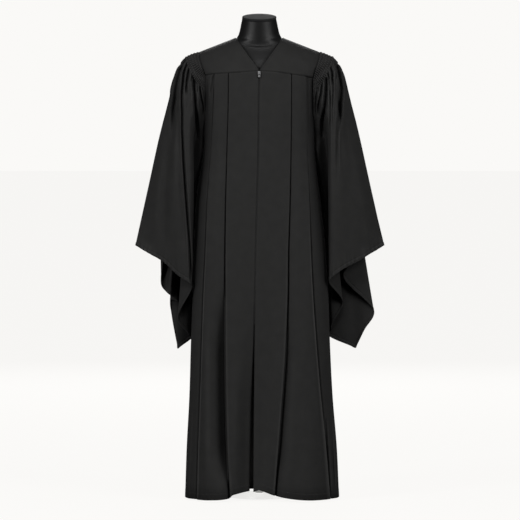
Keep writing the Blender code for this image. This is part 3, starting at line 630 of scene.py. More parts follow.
def back_yoke_sheet(down, scale):
    """Back yoke; scale multiplies the columns of each half."""
    v = np.linspace(0, 1, down + 1)[:, None, None]
    neck = NECK_COLUMNS * scale
    total = YOKE_COLUMNS * scale
    c = np.arange(total + 1)
    u = c / total
    in_neck = c <= neck
    halves = []
    for side in (-1, 1):
        corner = yoke_corner(side, False)
        arm = list(BACK_ARMHOLE) + [tuple(corner)]
        top = np.empty((total + 1, 3))
        top[in_neck] = spline(BACK_NECK, (1 - c[in_neck] / neck) * (len(BACK_NECK) - 1))
        past = (c[~in_neck] - neck) / (total - neck)
        top[~in_neck] = spline(SHOULDER_LINE, past * (len(SHOULDER_LINE) - 1))
        low = on_body(side, corner[0] * u, BACK_SEAM_HEIGHT, np.zeros(total + 1), False)
        low[:, 0] = np.abs(low[:, 0])
        edge = spline(arm, v[:, 0, 0] * (len(arm) - 1))[:, None]
        side_arch = arched(np.array(arm[0])[None, None], corner[None, None], v)
        half = arched(top[None], low[None], v) + (edge - side_arch) * u[None, :, None]
        half[..., 0] *= side
        halves.append(half)
    grid = np.concatenate([halves[0][:, ::-1], halves[1][:, 1:]], axis=1)
    grid[0, :, 1] += SHOULDER_GAP
    return grid


# Sleeve sheets.

LEVELS = (TOP, 1.255, 1.195, 1.135, 1.098, ARM_OPEN, ARM_SHUT)
PLAIN = {"front": (6, 7, 6), "back": (4, 6, 5), "bend": 3, "under": 2, "side": 3, "reach": 0.0036,
         "sprung": False}
ARM_STAND = 0.0004
UNDERARM_STEP = (0.0010, 0.002)


def armhole_ring(side):
    """Points round the armhole from the shoulder, forwards and down, then up the back."""
    yoke = front_yoke_sheet(side, np.arange(10) / 9, np.linspace(0, 1, 10))
    front = front_sheet(side, LEVELS, PLAIN)
    back_yoke = back_yoke_sheet(7, 1)
    back = back_sheet(LEVELS, PLAIN)
    column = -1 if side > 0 else 0
    runs = (
        (yoke, range(10), -1, -ARM_STAND),
        (front, range(6), -1, -ARM_STAND),
        (back, range(5, -1, -1), column, -ARM_STAND),
        (back_yoke, range(7, 0, -1), column, ARM_STAND),
    )
    points = []
    for grid, rows, place, stand in runs:
        normals = sheet_normals(grid, False, False)
        for r in rows:
            p = grid[r, place]
            points.append((abs(p[0]) + stand + CLOTH / 2 * abs(normals[r, place, 0]), p[1], p[2]))
        if grid is front:
            points.append((points[-1][0] + UNDERARM_STEP[0], 0.0, UNDERARM - UNDERARM_STEP[1]))
    return np.array(points)


def ring_share(points, share):
    """Point at a share of the length round a closed ring."""
    lengths = np.linalg.norm(np.roll(points, -1, axis=0) - points, axis=1)
    want = (share % 1.0) * lengths.sum()
    i = 0
    while want > lengths[i]:
        want -= lengths[i]
        i += 1
    return ring_points(points[None], np.array([i + want / lengths[i]]))[0, 0]


LEAD_DROP = (0.42, 5.0)
LEAD_SPREAD = 2.0
CROWN_PLACE = 0.32


def sleeve_lines(side):
    """Each rib's points: armhole, end of the shirred band, crown, then the three of its table row."""
    ring = armhole_ring(side)
    lines = []
    for share, band, high, low, cuff in RIBS[side]:
        start = ring_share(ring, share)
        high, low, cuff = (np.array(p) / 1000 for p in (high, low, cuff))
        full = min(band / FULL_BAND, 1.0)
        start[0] += CLOTH / 2 * (1 - full)
        drop = LEAD_DROP[0] + LEAD_DROP[1] * min(share, 1 - share)
        lead = unit(np.array((1.0, start[1] * LEAD_SPREAD, -drop)))
        end = start + (lead * full + unit(high - start) * (1 - full)) * band
        fall = unit(high - end)
        away = end - ARM_MIDDLE
        away = away - fall * (away @ fall)
        crown = end + (high - end) * CROWN_PLACE + unit(away) * CROWN * full
        lines.append((start, end, crown, high, low, cuff))
    return lines


# Meshes.


def sheet_normals(grid, closed, flip):
    if closed:
        across = np.roll(grid, -1, axis=1) - np.roll(grid, 1, axis=1)
    else:
        across = np.empty_like(grid)
        across[:, 1:-1] = grid[:, 2:] - grid[:, :-2]
        across[:, 0] = grid[:, 1] - grid[:, 0]
        across[:, -1] = grid[:, -1] - grid[:, -2]
    down = np.empty_like(grid)
    down[1:-1] = grid[2:] - grid[:-2]
    down[0] = grid[1] - grid[0]
    down[-1] = grid[-1] - grid[-2]
    normal = unit(np.cross(unit(across), unit(down)))
    return -normal if flip else normal


def shell(name, grid, thick, material, closed=False, flip=False, wear=None):
    """Closed thin shell with a face on both sides of the sheet and sharp rims."""
    half = np.broadcast_to(np.asarray(thick) / 2, grid.shape[:2])
    step = sheet_normals(grid, closed, flip) * half[..., None]
    points = np.concatenate([(grid + step).reshape(-1, 3), (grid - step).reshape(-1, 3)])
    count = len(points) // 2
    index = np.arange(count).reshape(grid.shape[:2])
    if closed:
        index = np.concatenate([index, index[:, :1]], axis=1)
    outer = quads(index)
    faces = [outer, outer[:, ::-1] + count]
    rim = np.zeros(2 * count, bool)
    edges = [index[0, ::-1], index[-1]] + ([] if closed else [index[:, 0], index[::-1, -1]])
    for edge in edges:
        p, q = edge[:-1], edge[1:]
        faces.append(np.stack([p, q, q + count, p + count], axis=-1))
        rim[edge] = True
        rim[edge + count] = True
    faces = np.concatenate(faces)
    if flip:
        faces = faces[:, ::-1]
    obj = mesh_object(name, points, faces.tolist(), material, rim)
    # Painted highlight: a value on each point that makes the base colour paler there.
    if wear is not None:
        paint = obj.data.attributes.new("wear", "FLOAT", "POINT")
        paint.data.foreach_set("value", np.tile(wear.ravel(), 2).astype(np.float32))
    return obj


def quads(index):
    """Four-sided faces between the neighbours in a grid of point numbers."""
    return np.stack([index[:-1, :-1], index[:-1, 1:], index[1:, 1:], index[1:, :-1]], axis=-1).reshape(-1, 4)


def mesh_object(name, points, faces, material, rim=None):
    mesh = bpy.data.meshes.new(name)
    mesh.from_pydata(np.asarray(points).tolist(), [], faces)
    mesh.shade_smooth()
    if rim is not None:
        ends = np.empty(len(mesh.edges) * 2, int)
        mesh.edges.foreach_get("vertices", ends)
        sharp = mesh.attributes.new("sharp_edge", "BOOLEAN", "EDGE")
        sharp.data.foreach_set("value", rim[ends.reshape(-1, 2)].all(axis=1))
    mesh.materials.append(material)
    obj = bpy.data.objects.new(name, mesh)
    bpy.context.scene.collection.objects.link(obj)
    return obj


# Materials.


def set_inputs(node, **values):
    """Sets a node's inputs, where _ in a name stands for a space."""
    for name, value in values.items():
        node.inputs[name.replace("_", " ")].default_value = value


def add(tree, kind, operation=None, **values):
    """New node of a kind, with values for its inputs."""
    node = tree.nodes.new("ShaderNode" + kind)
    if operation:
        node.operation = operation
    set_inputs(node, **values)
    return node


def link(tree, a, out, b, into):
    tree.links.new(a.outputs[out], b.inputs[into])


def new_material(name, colour, roughness, metallic=0.0):
    made = bpy.data.materials.new(name)
    made.use_nodes = True
    shader = made.node_tree.nodes["Principled BSDF"]
    set_inputs(shader, Base_Color=(*colour, 1.0), Roughness=roughness, Metallic=metallic)
    return made, made.node_tree, shader, add(made.node_tree, "TexCoord")


def mottled(tree, shader, dark, light, scale, coords):
    """Base colour that wanders between two values."""
    noise = add(tree, "TexNoise", Scale=scale, Detail=5.0)
    ramp = add(tree, "ValToRGB")
    for stop, place, colour in zip(ramp.color_ramp.elements, (0.30, 0.70), (dark, light)):
        stop.position = place
        stop.color = (*colour, 1.0)
    link(tree, coords, "Object", noise, "Vector")
    link(tree, noise, "Fac", ramp, "Fac")
    link(tree, ramp, "Color", shader, "Base Color")
    return noise


def bumped(tree, shader, source, strength):
    bump = add(tree, "Bump", Strength=strength, Distance=BUMP_DEPTH)
    link(tree, source, 0, bump, "Height")
    link(tree, bump, "Normal", shader, "Normal")


def woven(tree, shader, coords, pitch, strength, turn):
    """Bump of a fine twill: two crossing sets of threads, broken up a little."""
    both = add(tree, "Math", "ADD")
    for k, (way, angle) in enumerate((("X", turn), ("Z", -turn))):
        mapping = add(tree, "Mapping", Rotation=(0.0, angle, 0.0))
        wave = add(tree, "TexWave", Scale=BANDS_A_METRE / pitch, Distortion=0.6, Detail=1.0)
        wave.bands_direction = way
        link(tree, coords, "Object", mapping, "Vector")
        link(tree, mapping, "Vector", wave, "Vector")
        link(tree, wave, "Fac", both, k)
    bumped(tree, shader, both, strength)


def scale_colour(tree, shader, factor):
    """Multiplies the base colour by a node's first output."""
    scale = add(tree, "VectorMath", "SCALE")
    tree.links.new(shader.inputs["Base Color"].links[0].from_socket, scale.inputs[0])
    link(tree, factor, 0, scale, "Scale")
    link(tree, scale, 0, shader, "Base Color")


def painted_crease_shade(tree, shader, reach, power):
    """Painted shade: the base colour falls off where the cloth closes in, in creases and narrow gaps."""
    closed = add(tree, "AmbientOcclusion", Distance=reach)
    closed.samples = 6
    raised = add(tree, "Math", "POWER")
    raised.inputs[1].default_value = power
    link(tree, closed, "AO", raised, 0)
    scale_colour(tree, shader, raised)
    return closed


def painted_edge_highlight(tree, shader, gain):
    """Painted highlight: base colour paler on sharp convex edges, such as pressed folds and hems, and paler
    still where the mesh carries a painted highlight value.
    """
    rise = add(tree, "MapRange", From_Min=EDGE_FROM, From_Max=EDGE_FULL, To_Min=1.0, To_Max=1.0 + gain)
    link(tree, add(tree, "NewGeometry"), "Pointiness", rise, "Value")
    wear = add(tree, "Attribute")
    wear.attribute_name = "wear"
    total = add(tree, "Math", "ADD")
    link(tree, rise, "Result", total, 0)
    link(tree, wear, "Fac", total, 1)
    scale_colour(tree, shader, total)


def cloth_material(name, dark, light, roughness, sheen, pitch, strength):
    made, tree, shader, coords = new_material(name, light, roughness)
    set_inputs(shader, Sheen_Weight=sheen, Sheen_Roughness=0.45, Specular_IOR_Level=0.13)
    mottled(tree, shader, dark, light, 34.0, coords)
    # Painted highlight on folds and edges.
    painted_edge_highlight(tree, shader, 0.45)
    # Painted shade in creases, gaps and cuffs.
    painted_crease_shade(tree, shader, 0.060, 1.5)
    woven(tree, shader, coords, pitch, strength, TWILL)
    return made


def satin_material():
    """Satin with a soft shine; where its seams close in it is rougher and carries painted shade."""
    made, tree, shader, coords = new_material("form_satin", (0.0085, 0.0085, 0.0086), 0.42)
    set_inputs(shader, Specular_IOR_Level=0.22, Sheen_Weight=0.02)
    mottled(tree, shader, (0.0046, 0.0046, 0.0047), (0.0066, 0.0066, 0.0068), 22.0, coords)
    closed = painted_crease_shade(tree, shader, 0.020, 2.0)
    dulled = add(tree, "MapRange", From_Min=0.40, From_Max=0.95, To_Min=1.0, To_Max=0.42)
    link(tree, closed, "AO", dulled, "Value")
    link(tree, dulled, "Result", shader, "Roughness")
    woven(tree, shader, coords, 0.0004, 0.12, 0.0)
    return made


def metal_material(name, colour, roughness, metallic):
    made, tree, shader, coords = new_material(name, colour, roughness, metallic)
    noise = mottled(tree, shader, [c * 0.88 for c in colour], colour, 300.0, coords)
    spread = add(tree, "MapRange", To_Min=roughness * 0.8, To_Max=roughness * 1.3)
    link(tree, noise, "Fac", spread, "Value")
    link(tree, spread, "Result", shader, "Roughness")
    bumped(tree, shader, noise, 0.08)
    return made


BACKDROP = (0.956, 0.947, 0.930, 1.0)
BUMP_DEPTH = 0.0002
BANDS_A_METRE = 0.314
# Pointiness over which the painted edge highlight grows.
EDGE_FROM = 0.508
EDGE_FULL = 0.560
TWILL = math.radians(32)

# Each cloth: darkest and lightest colour, roughness, sheen, pitch of its threads, strength of the weave.
robe_cloth = cloth_material("robe_cloth", (0.0188, 0.0186, 0.0182), (0.0219, 0.0217, 0.0212),
                            0.74, 0.03, 0.0005, 0.30)
# The zip tape is black, and darker than the robe cloth as painted shade in the slit between the fronts.
tape_cloth = cloth_material("tape_cloth", (0.0040,) * 3, (0.0060,) * 3, 0.85, 0.05, 0.0009, 0.50)
thread = cloth_material("thread", (0.014, 0.014, 0.015), (0.022, 0.022, 0.023), 0.60, 0.10, 0.0002, 0.40)
satin = satin_material()
cap_cloth = cloth_material("form_cap_cloth", (0.0075, 0.0075, 0.0078), (0.0105, 0.0105, 0.0108),
                           0.80, 0.03, 0.0004, 0.15)
stand_metal = metal_material("stand_metal", (0.75, 0.75, 0.74), 0.35, 0.0)
# The foot's low white paint glows: painted light that stands in for the light the pale floor throws back.
glowing_foot_paint = metal_material("glowing_foot_paint", (0.80, 0.79, 0.78), 0.45, 0.0)
set_inputs(glowing_foot_paint.node_tree.nodes["Principled BSDF"], Emission_Color=BACKDROP, Emission_Strength=0.82)
zip_metal = metal_material("zip_metal", (0.66, 0.66, 0.67), 0.36, 1.0)
zip_plastic = metal_material("zip_plastic", (0.0050, 0.0050, 0.0055), 0.60, 0.0)


# Cloth pieces.

pieces = {}
sewing = []
WORDS = ((1, "right"), (-1, "left"))
FINE = {"front": (24, 26, 24), "back": (13, 22, 20), "bend": 8, "under": 4, "side": 6, "reach": 0.0085,
        "sprung": True}
SPACING = 0.0059
SEAM_START = 0.0060
HEM_START = 0.0270
HEM_LINE = np.array((0.0235, 0.0220, 0.0209, 0.0200, 0.0191, 0.0180, 0.0165, 0.0120, 0.0075))
EDGE_STEPS = np.array((0.0, 0.0007, 0.0016, 0.0027, 0.0040))
# How deep the cloth rolls in at a seam, and from how far off.
SEAM_ROLL = (0.0023, 0.0045)
SLEEVE_ROLL = (0.0016, 0.0050)


def fine_heights():
    """Row heights, closer at the seam, at the underarm and at the hem."""
    upper = np.linspace(TOP - SEAM_START, ARM_OPEN, int((TOP - ARM_OPEN) / SPACING))
    joining = np.linspace(ARM_OPEN, ARM_SHUT, 4)[1:-1]
    lower = np.linspace(ARM_SHUT, HEM_START, int(ARM_SHUT / SPACING))
    return np.concatenate([TOP - EDGE_STEPS, upper, joining, lower, HEM_LINE, EDGE_STEPS[::-1]])


def seam_roll(grid, normals, first, last, depth=SEAM_ROLL[0], reach=SEAM_ROLL[1]):
    """Rows near a seam roll inwards, so that the sewn line reads as a fine valley."""
    roll = np.zeros(grid.shape[:2])
    for wanted, away in zip((first, last), edge_lengths(grid)):
        if wanted:
            roll += np.maximum(0.0, 1 - away / reach) ** 2
    return grid - normals * (roll * depth)[..., None]


def arm_roll(grid, normals, from_start):
    """Columns near an armhole or the zip roll inwards, like rows in seam_roll."""
    turned = np.swapaxes(grid, 0, 1)
    rolled = seam_roll(turned, np.swapaxes(normals, 0, 1), from_start, not from_start)
    return np.swapaxes(rolled, 0, 1)


# Small creases of the front panels, as in the sleeve tables further down.
FRONT_CREASES = {
    1: (
        (4.0, 4.0, 60, ((216, 260), (220, 170), (226, 70))),
        (3.2, 4.0, 50, ((201, 240), (206, 130), (211, 50))),
        (3.0, -4.0, 50, ((225, 230), (230, 110), (234, 40))),
        (3.6, 2.0, 50, ((160, 1270), (163, 1225), (162, 1180))),
        (3.0, -1.5, 40, ((152, 1262), (154, 1220), (155, 1190))),
    ),
    -1: (
        (3.2, 3.0, 20, ((139, 1284), (142, 1262), (146, 1242))),
        (3.0, 1.6, 30, ((158, 1268), (160, 1230), (159, 1190))),
        (3.0, -3.6, 60, ((204, 260), (209, 130), (213, 40))),
    ),
}

# Broad relief of the fronts, by side.
FRONT_RIPPLE = 0.0011
BACK_RIPPLE = 0.0016
# How far the zip edge turns in near the hem and over what width; then the heights between which it grows.
ZIP_TURN = {1: (0.006, 0.030), -1: (0.024, 0.055)}
ZIP_TURN_FROM = 0.62
ZIP_TURN_FADE = 0.40
# The trough past the inner fold: depth, width, its upper end and fade, its lower end and fade.
FOLD_TROUGH = {1: (0.0080, 0.016, 0.60, 0.20, 0.05, 0.12), -1: (0.0290, 0.042, 0.68, 0.26, 0.03, 0.14)}
PAST_FOLD = 0.001
PAST_FADE = 0.004
LEFT_SWELL = (0.0040, 0.158, 0.014)
RIGHT_SINK = (0.0055, 1.06, 0.10)
SIDE_FADE = 0.014
FRAME_LOW = 0.02
FRAME_FADE = 0.10
# Heights at which the relief of the fronts and of the back has faded out.
FRONT_UPPER = 1.30
BACK_UPPER = 1.28
# Random waves: seed, how many, shortest and longest.
FRONT_WAVES = {1: (12, 5, 0.055, 0.120), -1: (10, 5, 0.055, 0.120)}
BACK_RELIEF_WAVES = (31, 6, 0.060, 0.130)


def framed(z, upper):
    """Fades relief out towards the yoke seam and the hem."""
    return ease((upper - z) / FRAME_FADE) * ease((z - FRAME_LOW) / FRAME_FADE)


def front_relief(side, x, z):
    """Outward relief of a front panel."""
    away = np.abs(x)
    columns = (SIDE_ZIP, SIDE_INNER, SIDE_OUTER, SIDE_WIDE)
    edge, inner, outer, wide = (curve(SIDES[side], z, k) for k in columns)
    out = FRONT_RIPPLE * ripple(x, z, waves(*FRONT_WAVES[side])) * framed(z, FRONT_UPPER)
    out += creases(FRONT_CREASES[side], away, z)
    depth, width = ZIP_TURN[side]
    out -= depth * (1 - ease((side * x - edge) / width)) * ease((ZIP_TURN_FROM - z) / ZIP_TURN_FADE)
    depth, width, upper, upper_fade, lower, lower_fade = FOLD_TROUGH[side]
    low = ease((upper - z) / upper_fade) * ease((z - lower) / lower_fade)
    out -= depth * ease((away - inner - PAST_FOLD) / PAST_FADE) * low * bell(away, inner, width)
    if side < 0:
        out += LEFT_SWELL[0] * low * bell(away, *LEFT_SWELL[1:])
    else:
        high = ease((z - RIGHT_SINK[1]) / RIGHT_SINK[2])
        out -= RIGHT_SINK[0] * ease((away - outer - PAST_FOLD) / PAST_FADE) * high
    return out * ease((wide - away) / SIDE_FADE)


def back_relief(x, z):
    """Outward relief of the back."""
    wide = np.where(x > 0, curve(SIDES[1], z, SIDE_WIDE), curve(SIDES[-1], z, SIDE_WIDE))
    made = waves(*BACK_RELIEF_WAVES)
    return BACK_RIPPLE * ripple(x, z, made) * ease((wide - np.abs(x)) / SIDE_FADE) * framed(z, BACK_UPPER)


HEM_WIDTH = 0.020
HEM_FOLD = 0.0007
HEM_DIP = 0.0004
HEM_RAMP = 0.0015
HEM_GROOVE = 0.0012


def hem_thick(grid, width, fold, dip):
    """Wall thickness: the hem's turning is a little thicker, with a stitched groove above it."""
    from_end = edge_lengths(grid)[1]
    return CLOTH + fold * ease((width - from_end) / HEM_RAMP) - dip * bell(from_end, width, HEM_GROOVE)


STITCH_PITCH = 0.0031
STITCH_SIZE = (0.0022, 0.0005, 0.0004)
STITCH_AHEAD = 0.0008
BLOCK_TOP = 0.62
BLOCK_CORNERS = ((-1, -1), (1, -1), (1, 1), (-1, 1))
BLOCK_FACES = np.array(((0, 3, 2, 1), (4, 5, 6, 7), (0, 1, 5, 4), (1, 2, 6, 5), (2, 3, 7, 6), (3, 0, 4, 7)))


def blocks(places, along, across, out, sizes):
    """Points and faces of small blocks, each with its top narrower than its foot."""
    corners = []
    for up, slim in ((-0.5, 1.0), (0.5, BLOCK_TOP)):
        for end, side in BLOCK_CORNERS:
            level = places + along * (end * slim * sizes[0] / 2) + across * (side * slim * sizes[1] / 2)
            corners.append(level + out * (up * sizes[2]))
    faces = (np.arange(len(places))[:, None, None] * 8 + BLOCK_FACES[None]).reshape(-1, 4)
    return np.stack(corners, axis=1).reshape(-1, 3), faces.tolist()


def stitched(name, line, out, closed=False):
    """A row of stitches along a line of points, lying on the cloth that faces out."""
    if closed:
        line = np.concatenate([line, line[:1]])
        out = np.concatenate([out, out[:1]])
    run = np.concatenate([[0.0], np.cumsum(np.linalg.norm(np.diff(line, axis=0), axis=1))])
    at = np.arange(STITCH_PITCH, run[-1] - STITCH_PITCH, STITCH_PITCH)
    places = between(at, run, line)
    facing = unit(between(at, run, out))
    along = unit(between(at + STITCH_AHEAD, run, line) - places)
    across = unit(np.cross(along, facing))
    sewing.append((name, *blocks(places, along, across, facing, STITCH_SIZE), thread))


def on_face(grid, thick, flip, closed, picked, inside=False):
    """The picked row or column of a shell's face, with its normals."""
    normals = sheet_normals(grid, closed, flip) * (-1 if inside else 1)
    place = grid + normals * (np.asarray(thick) / 2)[..., None]
    return place[picked], normals[picked]


# Painted highlight on the front's fold edges: height below which it grows, over what fade, and its strength
# on the inner and outer fold.
FOLD_HIGHLIGHT_FROM = 0.95
FOLD_HIGHLIGHT_FADE = 0.40
INNER_FOLD_HIGHLIGHT = 0.25
OUTER_FOLD_HIGHLIGHT = 1.5


def fold_wear(grid):
    """Painted highlight on the pressed fold edges of a front: how much paler their colour is, the outer fold
    most, and more lower down.
    """
    columns = np.arange(grid.shape[1])
    arc = FINE["bend"] - 2
    inner = FINE["front"][0]
    outer = inner + 2 * arc + FINE["under"] + FINE["front"][1]
    low = ease((FOLD_HIGHLIGHT_FROM - grid[:, :1, 2]) / FOLD_HIGHLIGHT_FADE)
    on_inner = (columns >= inner - 1) & (columns < inner + arc - 1)
    on_outer = (columns >= outer - 1) & (columns < outer + arc)
    return low * (INNER_FOLD_HIGHLIGHT * on_inner + OUTER_FOLD_HIGHLIGHT * on_outer)[None, :]


def make_piece(node, ending, *sheet, **more):
    """One cloth piece, in place of the solid node of the same name."""
    pieces[node] = shell(node + ending, *sheet, **more)


# The row or column of each sheet on which its stitching lies.
HEM_ROW = np.s_[-11]
CUFF_ROW = np.s_[-8]
NECK_COLUMN = np.s_[:, 5]


def make_body():
    heights = fine_heights()
    for side, word in WORDS:
        grid = front_sheet(side, heights, FINE)
        grid[..., 1] -= front_relief(side, grid[..., 0], grid[..., 2])
        flip = side > 0
        normals = sheet_normals(grid, False, flip)
        grid = arm_roll(seam_roll(grid, normals, True, False), normals, True)
        thick = hem_thick(grid, HEM_WIDTH, HEM_FOLD, HEM_DIP)
        # The fold edges carry a painted highlight.
        make_piece("front_" + word, "_cloth", grid, thick, robe_cloth, flip=flip, wear=fold_wear(grid))
        stitched("hem_stitches_front_" + word, *on_face(grid, thick, flip, False, HEM_ROW))
    grid = back_sheet(heights, FINE)
    grid[..., 1] += back_relief(grid[..., 0], grid[..., 2])
    grid = seam_roll(grid, sheet_normals(grid, False, False), True, False)
    thick = hem_thick(grid, HEM_WIDTH, HEM_FOLD, HEM_DIP)
    make_piece("back", "_cloth", grid, thick, robe_cloth)
    stitched("hem_stitches_back", *on_face(grid, thick, False, False, HEM_ROW))


ALLOWANCE = np.array((0.0012, 0.0026, 0.0042))
ALLOWANCE_SINK = np.array((0.0, 0.0, -0.35))
V_STEPS = np.array((0.0, 0.0005, 0.0012, 0.0021, 0.0030, 0.0038, 0.0046, 0.0056, 0.0072))
YOKE_DOWN = 0.16
YOKE_ACROSS = 0.15


def allowance(edge, inner):
    """Columns of a seam allowance, which runs on past the armhole and sinks a little."""
    out = unit(edge - inner) + ALLOWANCE_SINK
    return edge[:, None] + out[:, None] * ALLOWANCE[None, :, None]


# Rolled neck edge, and the stitched groove beside it: rise or depth, distance from the edge, half width.
NECK_ROLL = (0.0011, 0.0014, 0.0016)
NECK_GROOVE = (0.0006, 0.0040, 0.0009)


def edge_thick(grid):
    """Wall thickness of a yoke: a rolled neck edge with a stitched groove beside it."""
    from_edge = edge_lengths(np.swapaxes(grid, 0, 1))[0].T
    rise, place, half = NECK_ROLL
    roll = rise * np.sqrt(np.maximum(0.0, 1 - ((from_edge - place) / half) ** 2))
    return CLOTH + roll - NECK_GROOVE[0] * bell(from_edge, *NECK_GROOVE[1:])


def make_yokes():
    down = np.concatenate([EDGE_STEPS / YOKE_DOWN, np.linspace(0.035, 0.965, 44),
                           1 - EDGE_STEPS[::-1] / YOKE_DOWN])
    across = np.concatenate([V_STEPS / YOKE_ACROSS, np.linspace(0.060, 0.965, 48),
                             1 - EDGE_STEPS[::-1] / YOKE_ACROSS])
    for side, word in WORDS:
        flip = side > 0
        grid = front_yoke_sheet(side, down, across)
        normals = sheet_normals(grid, False, flip)
        grid = arm_roll(seam_roll(grid, normals, False, True), normals, False)
        thick = np.pad(edge_thick(grid), ((0, 0), (0, len(ALLOWANCE))), constant_values=CLOTH)
        grid = np.concatenate([grid, allowance(grid[:, -1], grid[:, -2])], axis=1)
        make_piece("front_yoke_" + word, "_cloth", grid, thick, robe_cloth, flip=flip)
        stitched("neck_stitches_" + word, *on_face(grid, thick, flip, False, NECK_COLUMN))
    grid = back_yoke_sheet(48, 5)
    normals = sheet_normals(grid, False, False)
    grid = arm_roll(arm_roll(seam_roll(grid, normals, False, True), normals, False), normals, True)
    first = allowance(grid[:, 0], grid[:, 1])[:, ::-1]
    grid = np.concatenate([first, grid, allowance(grid[:, -1], grid[:, -2])], axis=1)
    make_piece("back_yoke", "_cloth", grid, CLOTH, robe_cloth)


SHIRRS = 5
SHIRR_ROWS = 5
BAND_COLUMNS = 35
PLAIN_COLUMNS = 13
DENSE_T = np.concatenate([np.linspace(0.0, 1.0, 51), np.linspace(1.0, 3.0, 81)[1:],
                          np.linspace(3.0, 5.0, 101)[1:]])
SLEEVE_T = np.concatenate([(0.0, 0.015, 0.035, 0.060), np.linspace(0.09, 1.0, 23),
                           np.linspace(1.035, 3.0, 34), np.linspace(3.06, 4.86, 34)])
CUFF_ROWS = np.array((0.0, 0.0006, 0.0014, 0.0035, 0.0070, 0.0100, 0.0109, 0.0118, 0.0127, 0.0140, 0.0165))


# Creases that fall from the shirring, on the front and on the back of each sleeve.
# Columns: width and depth, length of the soft foot, then points of distance from the middle and height,
# in millimetres.
SLEEVE_FRONT = {
    1: (
        (5.6, 22.0, 90, ((240, 1318), (242, 1310), (245, 1294), (248, 1272), (250, 1255), (248, 1233),
                         (245, 1205))),
        (4.0, 5.0, 160, ((245, 1205), (242, 1165), (238, 1135), (236, 1100))),
        (3.0, 7.0, 18, ((231, 1326), (233, 1318), (235, 1304), (234, 1292))),
        (3.2, 9.0, 25, ((217, 1312), (221, 1300), (222, 1290), (221, 1282))),
        (2.6, 6.0, 16, ((209, 1294), (211, 1286), (212, 1274))),
        (2.2, 4.5, 60, ((224, 1272), (223, 1240), (222, 1210), (221, 1180))),
        (2.6, 4.5, 60, ((212, 1262), (215, 1225), (216, 1185), (214, 1135), (213, 1080))),
        (4.6, 16.0, 60, ((204, 1276), (203, 1250), (201, 1215), (197, 1180), (192, 1150))),
        (3.2, 7.0, 30, ((190, 1264), (188, 1240), (183, 1215), (179, 1195))),
        (2.2, 4.0, 14, ((181, 1264), (178, 1250))),
        (2.2, 4.5, 40, ((175, 1258), (173, 1230), (171, 1195))),
        (26.0, 4.0, 220, ((262, 1120), (268, 1040), (276, 960))),
        (20.0, -3.0, 200, ((296, 1130), (312, 1020), (330, 900))),
    ),
    -1: (
        (6.0, 20.0, 120, ((229, 1339), (238, 1327), (243, 1315), (249, 1288), (254, 1256), (258, 1226),
                          (263, 1190))),
        (16.0, 10.0, 220, ((263, 1215), (270, 1150), (273, 1124), (279, 1030), (288, 940))),
        (3.4, 11.0, 40, ((219, 1327), (224, 1313), (229, 1295), (232, 1265), (234, 1235), (234, 1205),
                         (233, 1176), (233, 1124), (229, 1030), (223, 943), (217, 857), (211, 771),
                         (208, 700))),
        (10.0, 6.0, 120, ((246, 1180), (243, 1100), (239, 1020), (232, 940), (226, 860))),
        (3.4, 10.0, 28, ((213, 1312), (217, 1295), (220, 1271), (221, 1254))),
        (2.4, 6.0, 14, ((201, 1299), (204, 1289), (205, 1279))),
        (4.4, 16.0, 60, ((198, 1291), (197, 1256), (195, 1226), (193, 1190), (190, 1150))),
        (2.2, 4.5, 16, ((189, 1265), (187, 1246))),
        (2.6, 8.0, 30, ((178, 1265), (180, 1250), (177, 1229), (171, 1196))),
        (2.0, 4.0, 14, ((172, 1265), (172, 1254))),
        (9.0, -2.0, 120, ((212, 1180), (212, 1090), (208, 980))),
    ),
}
SLEEVE_BACK = {
    1: (
        (5.0, 8.0, 90, ((236, 1322), (242, 1290), (247, 1240), (246, 1180))),
        (3.6, 5.0, 30, ((222, 1322), (228, 1300), (231, 1270))),
        (4.0, 7.0, 60, ((212, 1300), (217, 1270), (220, 1220))),
        (3.4, 6.0, 90, ((200, 1280), (206, 1240), (208, 1180), (206, 1120))),
        (3.0, 4.5, 40, ((190, 1262), (192, 1235), (190, 1200))),
        (2.8, 4.0, 30, ((178, 1256), (178, 1230))),
        (15.0, 4.0, 200, ((268, 1230), (282, 1120), (292, 980))),
        (12.0, 3.0, 160, ((228, 1120), (236, 1020), (240, 900))),
    ),
    -1: (
        (5.0, 8.0, 90, ((238, 1320), (246, 1285), (254, 1230), (258, 1180))),
        (3.6, 6.0, 40, ((224, 1322), (231, 1298), (234, 1262))),
        (4.0, 7.0, 70, ((212, 1302), (218, 1268), (221, 1210))),
        (3.4, 5.0, 80, ((200, 1284), (204, 1240), (206, 1190))),
        (3.0, 4.5, 30, ((190, 1264), (193, 1240), (192, 1210))),
        (2.8, 3.5, 30, ((176, 1256), (177, 1232))),
        (14.0, 4.5, 220, ((264, 1220), (276, 1110), (284, 970))),
        (11.0, 2.5, 160, ((226, 1130), (232, 1030), (236, 920))),
        (9.0, 14.0, 40, ((262, 770), (267, 700), (272, 640))),
    ),
}


def respaced(grid, t, rows, ends):
    """Grid with rows at the wanted t, and the last ones at fixed distances from the free edge."""
    length = edge_lengths(grid)[0]
    out = np.empty((len(rows) + len(ends), grid.shape[1], 3))
    for c in range(grid.shape[1]):
        along = length[:, c]
        want = np.concatenate([np.interp(rows, t, along), along[-1] - ends[::-1]])
        out[:, c] = between(want, along, grid[:, c])
    return out


